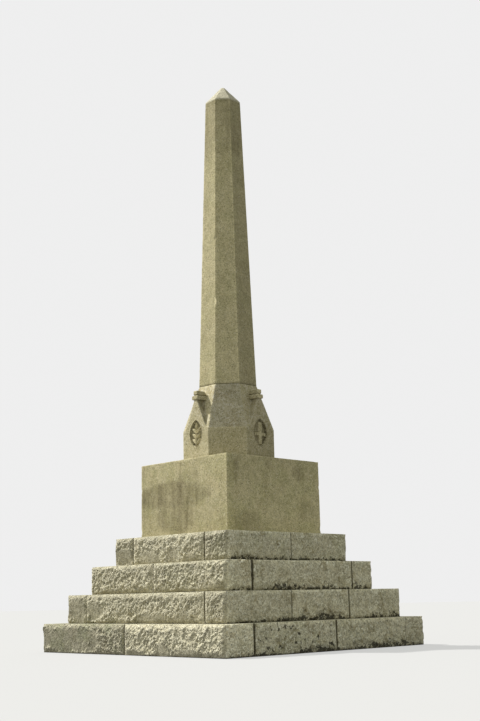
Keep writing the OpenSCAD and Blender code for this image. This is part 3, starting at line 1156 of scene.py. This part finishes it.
dieStone = {
    "spacing": 0.019,
    "bedRound": 0.004,
    "topRound": 0.006,
    "cornerRound": 0.006,
    "topRows": (0.016, 0.05, 0.052),
    "topTone": -0.16,
    "topGrey": 0.30,
    "arrisChip": 0.014,
    "wave": 0.0008,
    "damp": 0.25,
    "film": 0.5,
    "sideShading": (0.03, 0.08, 0.05, 0.21),   # painted light and shade of each side: front, right, back, left
    "footShading": (0.33, 0.10, 0.0, -0.19),   # painted light and shade: how much lighter each side is at its foot
    "cornerTone": 0.14,          # how much lighter the stone is along its upright arrises
    "cornerWidth": 0.035,
    "crusted": 0.6,
    "capHeight": 9.0,            # above its top, because it has no greyer part
    "capGrey": 0.0,
    # soft stains: side, distance along it and height of the middle, half the width and height, strength
    "stains": (
        (3, 0.72, 0.56, 0.92, 0.23, 0.72),
        (3, 0.74, 0.28, 0.44, 0.34, 0.56),
        (3, 1.00, 0.78, 0.30, 0.10, 0.25),
        (0, 0.17, 0.80, 0.07, 0.22, 0.45),
        (0, 1.38, 0.84, 0.16, 0.13, 0.40),
        (0, 0.36, 0.14, 0.30, 0.17, 0.40),
        (0, 1.55, 0.30, 0.22, 0.14, 0.25),
        (1, 0.50, 0.62, 0.50, 0.15, 0.45),
        (2, 1.10, 0.50, 0.40, 0.30, 0.40),
    ),
}

shaftStone = {
    "spacing": 0.028,
    "bedRound": 0.006,
    "topRound": 0.0,
    "cornerRound": 0.007,
    "topRows": (),
    "topTone": 0.0,
    "topGrey": 0.0,
    "arrisChip": 0.016,
    "wave": 0.0012,
    "damp": 0.0,
    "film": 0.3,
    # painted light and shade of each side: front, front right, right, back right, back, back left, left,
    # front left
    "sideShading": (-0.14, -0.05, 0.10, 0.10, 0.05, 0.12, 0.24, 0.20),
    # painted light and shade at the foot of each side, in the same order
    "footShading": (-0.07, 0, 0, 0, 0, 0, -0.03, 0),
    "cornerTone": 0.16,
    "cornerWidth": 0.020,
    "crusted": 0.5,
    "stains": [
        (side, 0.11, *stain)
        for stain in ((4.15, 0.4, 0.75, 0.70), (4.46, 0.4, 0.03, 1.0))
        for side in range(8)
    ],
    "capHeight": 4.483,          # from here up the stone is greyer
    "capGrey": 0.40,
    "shoulderWidth": 0.531,      # where the shaft turns into its point
    "pointHeight": 0.314,
    "wornTip": ((0.040, 0.088), (0.024, 0.062), (0.014, 0.026)),   # depth below the top, and width
}

dressedWear = {
    "waveNoise": (0.12, 3),      # size of its broadest waves and octaves
    "chipNoise": (0.05, 2),
    "chipGaps": 0.18,            # higher leaves more of the arrises whole
    "chipDepth": 0.7,            # how far a chip cuts down beside how far it cuts in
    "chipReach": 0.02,           # how far from an arris it is chipped
    "leastWear": 0.0006,         # of the whole surface
    "bedDirt": 0.014,            # height of the dirt along the bed
    "stainNoise": (0.22, 3),
    "stainRagged": 0.3,          # how uneven the outlines of stains are
    "stainSoftness": 1.6,
}


def regularPlan(count, width):
    # anticlockwise corners, with the first side at the front
    reach = width / 2 / math.cos(math.pi / count)
    angles = [math.radians(-90 + (k - 0.5) * 360 / count) for k in range(count)]
    return [(reach * math.cos(a), reach * math.sin(a)) for a in angles]


def dressedRows(look, levels):
    # how far in and how high each row of points lies, with rows on every level of the profile
    bed, top, tall = look["bedRound"], look["topRound"], levels[-1]
    rows = roundedEdge(bed, (90, 45))
    for k in range(len(levels) - 1):
        start = bed if k == 0 else levels[k]
        stop = levels[k + 1] - (top if k == len(levels) - 2 else 0)
        steps = max(1, round((stop - start) / look["spacing"]))
        rows += [(0.0, start + (stop - start) * s / steps) for s in range(0 if k == 0 else 1, steps + 1)]
    if top:
        rows += [(inset, tall - drop) for inset, drop in roundedEdge(top, (30, 60, 90))]
        rows += [(inset, tall) for inset in look["topRows"]]
    return np.array(rows)


def makeDressedStone(name, nodeName, material, look, sideCount, profile, seed):
    # profile is a list of (height, width) from the bed up
    low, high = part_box(nodeName)
    wear = dressedWear
    levels, widths = zip(*profile)
    tall = levels[-1]
    rows = dressedRows(look, levels)
    insets, heights = rows[:, :1], rows[:, 1:]
    counts = [round(widths[0] * math.tan(math.pi / sideCount) / look["spacing"])] * sideCount
    radii = [look["cornerRound"]] * sideCount
    side, behind, ahead = measureOutline(regularPlan(sideCount, widths[0]), counts, True)
    layers, normals = [], []
    for inset, height in rows:
        plan = regularPlan(sideCount, np.interp(height, levels, widths))
        points, directions = traceOutline(plan, [inset] * sideCount, radii, counts, True)
        layers.append(np.column_stack([points, np.full(len(points), low.z + height)]))
        normals.append(directions)
    grid, normal = np.array(layers), np.array(normals)
    toCorner = np.minimum(behind, ahead)
    wave = look["wave"] * fractalNoise(grid, *wear["waveNoise"], seed)
    chips = fractalNoise(grid, *wear["chipNoise"], seed + 1)
    nick = np.clip(chips - wear["chipGaps"], 0, 1) * look["arrisChip"]
    knock = nick * fade(toCorner, wear["chipReach"]) + wear["leastWear"]
    reach = (tall - heights) + insets if look["topRound"] else farAway
    bite = wear["chipDepth"] * nick * fade(reach, wear["chipReach"])
    out = (wave - knock) * (insets < 0.5 * look["spacing"]) - bite
    grid[..., :2] += normal * out[..., None]
    grid[..., 2] -= bite
    # painted light and shade of each side and its foot, lighter along the upright arrises
    tones = np.array(look["sideShading"])[side] + np.array(look["footShading"])[side] * (1 - heights / tall)
    tones = tones + look["cornerTone"] * fade(toCorner, look["cornerWidth"])
    stain = fade(heights, wear["bedDirt"])
    ragged = wear["stainRagged"] * fractalNoise(grid, *wear["stainNoise"], seed + 2)
    for where, along, rise, halfWidth, halfHeight, strength in look["stains"]:
        inside = ovalField(behind, heights, along, rise, halfWidth, halfHeight) + ragged
        stain = np.maximum(stain, (side == where) * strength * ease(wear["stainSoftness"] * inside))
    capped = heights > look["capHeight"]
    onTop = (heights >= tall) & (insets > look["topRound"])
    masks = {
        "rise": heights,
        "damp": look["damp"],
        "film": look["film"],
        "tone": np.where(onTop, look["topTone"], tones),
        "stain": stain * (1 - capped) * (1 - onTop),
        "grey": capped * look["capGrey"] + onTop * look["topGrey"],
        "crusted": look["crusted"],
    }
    piece = buildSheet(name, grid, True, [], low.z, high.z, masks)
    markBends(piece, gain=1.6, passes=1)
    finishPiece(piece, "dressed_granite", material, nodeName)


def boxSize(nodeName):
    low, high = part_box(nodeName)
    return high - low


dieSize = boxSize("die")
makeDressedStone("dressed_die", "die", dieGranite, dieStone, 4, [(0, dieSize.x), (dieSize.z, dieSize.x)], 11)
shaftSize = boxSize("shaft")
shaftProfile = [
    (0, shaftSize.x),
    (shaftSize.z - shaftStone["pointHeight"], shaftStone["shoulderWidth"]),
    *((shaftSize.z - depth, width) for depth, width in shaftStone["wornTip"]),
]
makeDressedStone("tapering_shaft", "shaft", shaftGranite, shaftStone, 8, shaftProfile, 21)
print("Die and shaft made")


# Base stone: eight-sided, with a gablet, a finial and a sunk panel on each main side

baseStone = {
    "width": 1.289,
    "uprightHeight": 0.437,
    "gabletInset": 0.036,        # from a gablet's foot to the corner beside it
    "gabletHeight": 0.497,       # above the upright part
    "voxel": 0.0098,
    "smoothing": 2,
    "wave": 0.0010,
    "waveNoise": (0.05, 3, 31),  # size of its broadest waves, octaves and seed
    # painted light and shade of each side: front, front right, right, back right, back, back left, left,
    # front left
    "sideShading": (-0.14, 0.0, 0.10, 0.10, 0.05, 0.10, 0.22, 0.02),
    "slopeTone": -0.16,          # of the sloping part's diagonal sides
    "slopeGrey": 0.14,
    "slopeCrust": 1.5,
    "shoulderLight": 0.20,       # of the worn arris on top of the upright part
    "valleyDirtAndShade": 0.8,          # dirt and painted shade on the gablets' roofs
    "valleyNoise": (0.10, 2, 33),
    "roofShadow": (-0.38, 0.0, 0.0, 0.0),     # painted shadow of the finial on each gablet's roof: front, right, back, left
    "roofAside": 0.5,            # how far a roof's normal leans aside at least
    "roofAhead": 0.3,            # and to the front at most
    "roofFrom": 0.35,            # a roof starts this far out from the axis
    "panelMargin": (0.060, 0.090),   # width and height round a panel that stay flat behind its rim
    "panelCut": (0.006, 0.010),  # how much narrower and lower than the panel its hole is
    "panelRoom": 0.014,          # how far the hole goes behind the panel's floor
    "faceReach": 0.006,          # points this near a main side belong to it
    "shoulderWidth": 0.010,      # of the worn arris
    "slopeBlend": 0.012,         # height over which the slope's tone sets in
    "bedDirt": 0.016,            # height of the dirt along the bed
    "film": 0.2,
    "damp": 0.2,
    "crusted": 0.5,
}

finialLook = {
    "foot": 0.432,               # above the upright part
    # width, height, how far it stands out, length at the top, how much longer the foot is
    "lower": (0.118, 0.060, 0.012, 0.258, 0.0),
    "neck": (0.058, 0.072, -0.010, 0.170, 0.0),
    "upper": (0.078, 0.060, 0.0, 0.146, 0.050),
    "groove": 0.012,             # between the lower and the upper roll
    "round": 0.010,              # of the rolls' edges
    "voxel": 0.0045,
    "smoothing": 2,
    "wave": 0.0011,
    "waveNoise": (0.03, 3, 60),  # size of its broadest waves, octaves and the front one's seed
    "tone": -0.06,
    "frontLight": 0.30,           # painted light: how much lighter its outer end is
    # dirt and painted shade in the groove between the rolls
    "grooveDirtAndShade": 0.8,
    "grooveWidth": 0.008,        # of its dirt and painted shade, up and down
}

panelLook = {
    "width": 0.256,
    "height": 0.394,
    "middle": 0.384,             # above the base stone's bed
    "depth": 0.032,
    "wall": 0.006,               # width of its sloping side
    # how far out and how deep the rings of its rim lie, which overlaps the face
    "rim": ((0.011, 0.0015), (0.011, -0.0004), (0.002, -0.0006), (0.0, 0.0002)),
    "around": 200,               # points along the outline
    "rings": 46,
    "reliefIn": 0.004,           # how far the carving stays behind the face
    "edge": 0.004,               # width of the carving's sloping sides
    "rimShading": (-0.14, 0.10, 0.05, 0.22),   # painted light and shade of the rim on each side: front, right, back, left
    "reliefLight": 0.15,          # painted light: how much lighter the carving is than its shaded floor
    "floorShade": 0.30,         # painted shade: how dark its sunk floor is
    "floorDirtAndShade": 0.30,          # dirt and painted shade on its sunk floor
    "edgeDirtAndShade": 0.8,            # dirt and painted shade on the floor along its edge
    "reliefRise": 0.012,         # carving raised this far is clear of that dirt and painted shade
    "shadedEdge": 0.022,          # width of the darker dirt and painted shade along its edge
}

crossLook = {
    "height": 0.322,
    "upright": 0.070,
    "drop": 0.014,               # of its middle below the panel's middle
    "span": 0.214,
    "arm": 0.048,
    "armDrop": 0.028,
}

sprigLook = {
    "height": 0.330,
    "leaf": 0.112,
    "leafWidth": 0.050,
    "slant": 46.0,               # degrees from upright
    "pairStep": 0.076,
    "lowestPair": 0.020,         # above the sprig's foot
    "pairs": 3,
    "stem": 0.016,
    "stemRise": 0.8,             # beside the leaves
    "ribDepth": 0.35,            # of the groove along a leaf's middle
    "ribWidth": 0.003,
}


def addShell(mesh, loops):
    # a closed shell through loops of as many points
    rings = [[mesh.verts.new(tuple(point)) for point in loop] for loop in loops]
    for under, over in zip(rings, rings[1:]):
        for k in range(len(under)):
            after = (k + 1) % len(under)
            mesh.faces.new((under[k], under[after], over[after], over[k]))
    mesh.faces.new(rings[0][::-1])
    mesh.faces.new(rings[-1])


def quarterTurn(points, quarter):
    # turns points at the front side to the given main side
    a = math.radians(90 * quarter)
    turned = np.array(points, float)
    x, y = turned[..., 0].copy(), turned[..., 1].copy()
    turned[..., 0] = x * math.cos(a) - y * math.sin(a)
    turned[..., 1] = x * math.sin(a) + y * math.cos(a)
    return turned


def rollLoops(width, height, out, length, tail, foot, face, radius):
    # a bar along Y whose long edges and ends are rounded and whose back slopes
    loops = []
    for middle, first in ((foot + radius, -90), (foot + height - radius, 0)):
        for step in range(4):
            a = math.radians(first + 30 * step)
            inset = radius * (1 - math.cos(a))
            z = middle + radius * math.sin(a)
            half = width / 2 - inset
            front = -face - out + inset
            back = -face - out + length - inset + tail * (1 - (z - foot) / height)
            loops.append([(-half, front, z), (half, front, z), (half, back, z), (-half, back, z)])
    return loops


def makeBaseShells(low, high, look):
    shells = bmesh.new()
    face = look["width"] / 2
    shoulder = low + look["uprightHeight"]
    ringsOfPlan = [(low, look["width"]), (shoulder, look["width"]), (high, shaftSize.x)]
    addShell(shells, [[(x, y, z) for x, y in regularPlan(8, width)] for z, width in ringsOfPlan])
    half = face * math.tan(math.pi / 8) - look["gabletInset"]
    peak = shoulder + look["gabletHeight"]
    gablet = [(-half, low), (half, low), (half, shoulder), (0, peak), (-half, shoulder)]
    for quarter in range(4):
        loops = [[(x, y, z) for x, z in gablet] for y in (0.0, -face)]
        addShell(shells, [quarterTurn(loop, quarter) for loop in loops])
    return shells


def ovalHalf(z, width, height):
    # half the width of a pointed oval at the height z from its middle
    radius = (width * width + height * height) / (4 * width)
    inside = np.maximum(radius ** 2 - np.asarray(z) ** 2, 0)
    return np.sqrt(inside) - (radius - width / 2)


def remeshed(name, shells, look):
    # one even skin round overlapping shells, with its points and their normals
    bmesh.ops.recalc_face_normals(shells, faces=shells.faces)
    data = bpy.data.meshes.new(name)
    shells.to_mesh(data)
    shells.free()
    source = addToScene(name, data)
    remesh = source.modifiers.new("even mesh", "REMESH")
    remesh.mode = "VOXEL"
    remesh.voxel_size = look["voxel"]
    shapes = bpy.context.evaluated_depsgraph_get()
    mesh = bpy.data.meshes.new_from_object(source.evaluated_get(shapes))
    bpy.data.objects.remove(source)
    points = pointArray(mesh)
    a, b = edgeEnds(mesh)
    _, mean = edgeMeans(a, b, len(points))
    for _ in range(look["smoothing"]):
        for axis in range(3):
            values = points[:, axis]
            points[:, axis] = 0.5 * values + 0.5 * mean(values[b], values[a])
    mesh.vertices.foreach_set("co", points.ravel())
    mesh.update()
    return mesh, points, pointArray(mesh, "normal")


def makeBaseStone():
    look = baseStone
    low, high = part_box("base_stone")
    mesh, points, normals = remeshed("base shells", makeBaseShells(low.z, high.z, look), look)
    face = look["width"] / 2
    wave = look["wave"] * fractalNoise(points, *look["waveNoise"])
    quiet = np.zeros(len(points), bool)
    growX, growZ = look["panelMargin"]
    cutX, cutZ = look["panelCut"]
    for quarter in range(4):
        # flat round the panel's rim, and set back behind its floor
        facing = quarterTurn(points, -quarter)
        x, z = abs(facing[:, 0]), facing[:, 2] - low.z - panelLook["middle"]
        onFace = facing[:, 1] < -face + look["faceReach"]
        flat = onFace & (ovalHalf(z, panelLook["width"] + growX, panelLook["height"] + growZ) - x > 0)
        facing[flat, 1] = -face
        sunk = onFace & (ovalHalf(z, panelLook["width"] - cutX, panelLook["height"] - cutZ) - x > 0)
        facing[sunk, 1] = -face + panelLook["depth"] + look["panelRoom"]
        points[flat] = quarterTurn(facing, quarter)[flat]
        quiet |= flat
    wave[quiet] = 0
    points += normals * wave[:, None]
    points[:, 2] = np.clip(points[:, 2], low.z, None)
    mesh.vertices.foreach_set("co", points.ravel())
    piece = smoothPiece("gabled_base_stone", mesh)
    rise = points[:, 2] - low.z
    above = ease((rise - look["uprightHeight"]) / look["slopeBlend"])
    shoulder = bell(rise - look["uprightHeight"], look["shoulderWidth"])
    sector = np.round((np.degrees(np.arctan2(normals[:, 1], normals[:, 0])) + 90) / 45).astype(int) % 8
    diagonal = sector % 2
    tone = np.array(look["sideShading"])[sector]
    tone = tone + diagonal * (above * (look["slopeTone"] - tone) + shoulder * look["shoulderLight"])
    stain = fade(rise, look["bedDirt"])
    for quarter in range(4):
        # the gablet's roof is what leans aside above the shoulder, near this main side; it gets dirt with
        # painted shade, and on the front a painted shadow
        facing, leaning = quarterTurn(points, -quarter), quarterTurn(normals, -quarter)
        roof = (abs(leaning[:, 0]) > look["roofAside"]) & (leaning[:, 1] > -look["roofAhead"])
        roof = roof & (facing[:, 1] < -look["roofFrom"]) & (above > 0.5)
        ragged = fractalNoise(points[roof], *look["valleyNoise"])
        stain[roof] = look["valleyDirtAndShade"] * np.clip(0.75 + ragged, 0.2, 1)
        tone[roof] += look["roofShadow"][quarter]
    storeMasks(
        piece, rise=rise, film=look["film"], damp=look["damp"], tone=tone, stain=stain,
        grey=diagonal * above * look["slopeGrey"],
        crusted=np.where(above > 0.5, look["slopeCrust"], look["crusted"]),
    )
    markBends(piece, gain=2.2, passes=2)
    finishPiece(piece, "dressed_granite", baseStoneGranite, "base_stone")
    print("Base stone made with", len(mesh.polygons), "faces")


dryHeight = 0.5   # height above the damp foot that finials and panels are given
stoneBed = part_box("base_stone")[0].z


def makeFinial(name, quarter):
    look = finialLook
    foot = stoneBed + baseStone["uprightHeight"] + look["foot"]
    lowerHeight = look["lower"][1]
    shells = bmesh.new()
    parts = (("lower", 0.0), ("neck", lowerHeight / 2), ("upper", lowerHeight + look["groove"]))
    for part, rise in parts:
        loops = rollLoops(*look[part], foot + rise, baseStone["width"] / 2, look["round"])
        addShell(shells, [quarterTurn(loop, quarter) for loop in loops])
    mesh, points, normals = remeshed(name, shells, look)
    size, octaves, seed = look["waveNoise"]
    points += normals * (look["wave"] * fractalNoise(points, size, octaves, seed + quarter))[:, None]
    mesh.vertices.foreach_set("co", points.ravel())
    piece = smoothPiece(name, mesh)
    # painted light on the outer end of the rolls
    front = np.clip(-quarterTurn(normals, -quarter)[:, 1], 0, 1) ** 2
    groove = foot + lowerHeight + look["groove"] / 2
    dirtAndShade = bell(points[:, 2] - groove, look["grooveWidth"])
    storeMasks(
        piece, rise=dryHeight, film=baseStone["film"], tone=look["tone"] + look["frontLight"] * front,
        stain=look["grooveDirtAndShade"] * dirtAndShade,
    )
    markBends(piece, gain=1.8, passes=3)
    finishPiece(piece, "dressed_granite", baseStoneGranite)


def crossRelief(x, z):
    look = crossLook
    upright = np.minimum(look["upright"] / 2 - abs(x), look["height"] / 2 - abs(z + look["drop"]))
    arms = np.minimum(look["span"] / 2 - abs(x), look["arm"] / 2 - abs(z + look["armDrop"]))
    return np.clip(np.maximum(upright, arms) / panelLook["edge"], 0, 1)


def leafRelief(x, z, footX, footZ, slant):
    look = sprigLook
    a = math.radians(slant)
    dx, dz = x - footX, z - footZ
    run = (dx * math.sin(a) + dz * math.cos(a)) / look["leaf"]
    across = dx * math.cos(a) - dz * math.sin(a)
    half = look["leafWidth"] / 2 * np.sin(np.pi * np.clip(run, 0.001, 0.999)) ** 0.8
    rise = dome(across, np.maximum(half, 0.0001)) * ((run > 0) & (run < 1))
    return rise * (1 - look["ribDepth"] * bell(across, look["ribWidth"]))


def sprigRelief(x, z):
    look = sprigLook
    foot, tip = -look["height"] / 2, look["height"] / 2
    stem = dome(x, look["stem"] / 2) * ((z > foot) & (z < tip - look["leaf"] / 2))
    field = np.maximum(look["stemRise"] * stem, leafRelief(x, z, 0, tip - look["leaf"], 0))
    for pair in range(look["pairs"]):
        start = foot + look["lowestPair"] + pair * look["pairStep"]
        for side in (-1, 1):
            field = np.maximum(field, leafRelief(x, z, 0, start, side * look["slant"]))
    return field


def makePanel(name, quarter, relief):
    look = panelLook
    face = baseStone["width"] / 2
    rimSideShade = look["rimShading"][quarter]
    count = look["around"]
    # the outline, evenly spaced in height angle on both sides
    angles = np.linspace(0, 2 * np.pi, count, endpoint=False)
    z = look["height"] / 2 * np.cos(angles)
    sign = np.sign(np.sin(angles) + (abs(np.sin(angles)) < 0.000001))
    outline = np.stack([ovalHalf(z, look["width"], look["height"]) * sign, z], 1)
    reach = np.linalg.norm(outline, axis=1)
    points, weather = [], []   # one array for each ring; the weather is its hollow with painted shade, its tone with painted light, and its stain with painted shade

    def addRing(ring, depth, hollow, tone, stain):
        points.append(np.column_stack([ring[:, 0], np.full(len(ring), -face) + depth, ring[:, 1]]))
        weather.append([np.broadcast_to(mask, len(ring)) for mask in (hollow, tone, stain)])

    def carved(ring):
        return relief(ring[:, 0], ring[:, 1]) * (look["depth"] - look["reliefIn"])

    for offset, depth in look["rim"]:
        addRing(outline * (1 + offset / reach)[:, None], depth, 0.0, rimSideShade, 0.0)
    for k in range(look["rings"]):
        share = 1 - (k + 1) / (look["rings"] + 1)
        ring = outline * share
        fromEdge = (1 - share) * reach
        raised = carved(ring)
        floor = fade(raised, look["reliefRise"])
        addRing(
            ring, (look["depth"] - raised) * ease(fromEdge / look["wall"]), floor * look["floorShade"],
            rimSideShade + (1 - floor) * look["reliefLight"],
            floor * np.where(fromEdge < look["shadedEdge"], look["edgeDirtAndShade"], look["floorDirtAndShade"]),
        )
    faces = gridFaces(len(points), count, True)
    last = (len(points) - 1) * count
    faces += [(last + c, last + (c + 1) % count, last + count) for c in range(count)]
    centre = np.zeros((1, 2))
    addRing(centre, look["depth"] - carved(centre), 0.0, rimSideShade + look["reliefLight"], 0.0)
    points = np.concatenate(points)
    points[:, 2] += stoneBed + look["middle"]
    hollow, tone, stain = np.concatenate(weather, axis=1)
    piece = meshPiece(name, quarterTurn(points, quarter), faces)
    storeMasks(piece, rise=dryHeight, film=baseStone["film"], tone=tone, stain=stain)
    markBends(piece, gain=1.2, passes=1, dirtAndShade=hollow)
    finishPiece(piece, "dressed_granite", baseStoneGranite)


makeBaseStone()
for quarter, label in enumerate(("front", "right", "back", "left")):
    makeFinial("finial_" + label, quarter)
    makePanel("sunk_panel_" + label, quarter, crossRelief if quarter % 2 == 0 else sprigRelief)
print("Finials and panels made")

# The filling stays as it is, inside the rings of blocks
filling = nodes["core"]
filling.data.materials.clear()
filling.data.materials.append(fillingStone)


# Studio: sun, sky and floor

studio = {
    "sunBearing": 114.5,         # degrees from +X towards +Y
    "sunHeight": 49.0,           # degrees above the floor
    "sunStrength": 4.4,
    "sunSoftness": 2.5,          # degrees across
    "sunDistance": 30.0,
    "sunColour": (1.0, 0.975, 0.93),
    "skyColour": (0.98, 1.0, 0.88),
    "skyOverhead": 0.85,         # brightness of the sky straight up
    "skyLevel": 0.26,            # and at the horizon
    "backdrop": 0.86,            # brightness that the camera sees
    "floorColour": 0.50,         # as the camera sees it
    "floorBounce": 0.20,         # as it lights the stone
    "floorGlow": 0.55,           # share of the floor's brightness that no shadow takes away
    "floorRadius": 90.0,
}


def seenByCamera(tree):
    path = tree.nodes.new("ShaderNodeLightPath").outputs
    seen = maths(tree, "MAXIMUM", path["Is Camera Ray"], path["Is Glossy Ray"])
    return maths(tree, "MAXIMUM", seen, path["Is Transmission Ray"])


def makeLights(look):
    data = bpy.data.lights.new("sun", "SUN")
    data.energy = look["sunStrength"]
    data.angle = math.radians(look["sunSoftness"])
    data.color = look["sunColour"]
    sun = addToScene("sun", data)
    towards = pointing(look["sunBearing"], look["sunHeight"])
    sun.rotation_mode = "QUATERNION"
    sun.rotation_quaternion = towards.to_track_quat("Z", "Y")
    sun.location = towards * look["sunDistance"]
    world = bpy.data.worlds.new("studio")
    bpy.context.scene.world = world
    world.use_nodes = True
    tree = world.node_tree
    ambient = tree.nodes["Background"]
    view = tree.nodes.new("ShaderNodeTexCoord").outputs["Generated"]
    height = addNode(tree, "ShaderNodeSeparateXYZ", view).outputs["Z"]
    sky = addNode(tree, "ShaderNodeMapRange", height, To_Min=look["skyLevel"], To_Max=look["skyOverhead"])
    plug(tree, ambient.inputs["Color"], look["skyColour"])
    plug(tree, ambient.inputs["Strength"], sky.outputs["Result"])
    backdrop = addNode(tree, "ShaderNodeBackground", Color=(1, 1, 1), Strength=look["backdrop"])
    seen = mixShaders(tree, seenByCamera(tree), ambient.outputs[0], backdrop.outputs[0])
    plug(tree, tree.nodes["World Output"].inputs["Surface"], seen)


def makeFloor(look):
    mesh = bmesh.new()
    bmesh.ops.create_circle(mesh, cap_ends=True, segments=96, radius=look["floorRadius"])
    data = bpy.data.meshes.new("floor")
    mesh.to_mesh(data)
    mesh.free()
    floor = addToScene("floor", data)
    floor.location.z = cadBox[0].z - 0.001
    material = bpy.data.materials.new("pale floor")
    material.use_nodes = True
    tree = material.node_tree
    tree.nodes.remove(tree.nodes["Principled BSDF"])
    lit, bounce = (
        addNode(tree, "ShaderNodeBsdfDiffuse", Color=(brightness,) * 3).outputs[0]
        for brightness in (look["floorColour"], look["floorBounce"])
    )
    glow = addNode(tree, "ShaderNodeEmission", Strength=look["backdrop"]).outputs[0]
    pale = mixShaders(tree, look["floorGlow"], lit, glow)
    seen = mixShaders(tree, seenByCamera(tree), bounce, pale)
    plug(tree, tree.nodes["Material Output"].inputs["Surface"], seen)
    data.materials.append(material)


makeLights(studio)
makeFloor(studio)
bpy.context.scene.view_settings.view_transform = "Standard"
print("Studio set up")
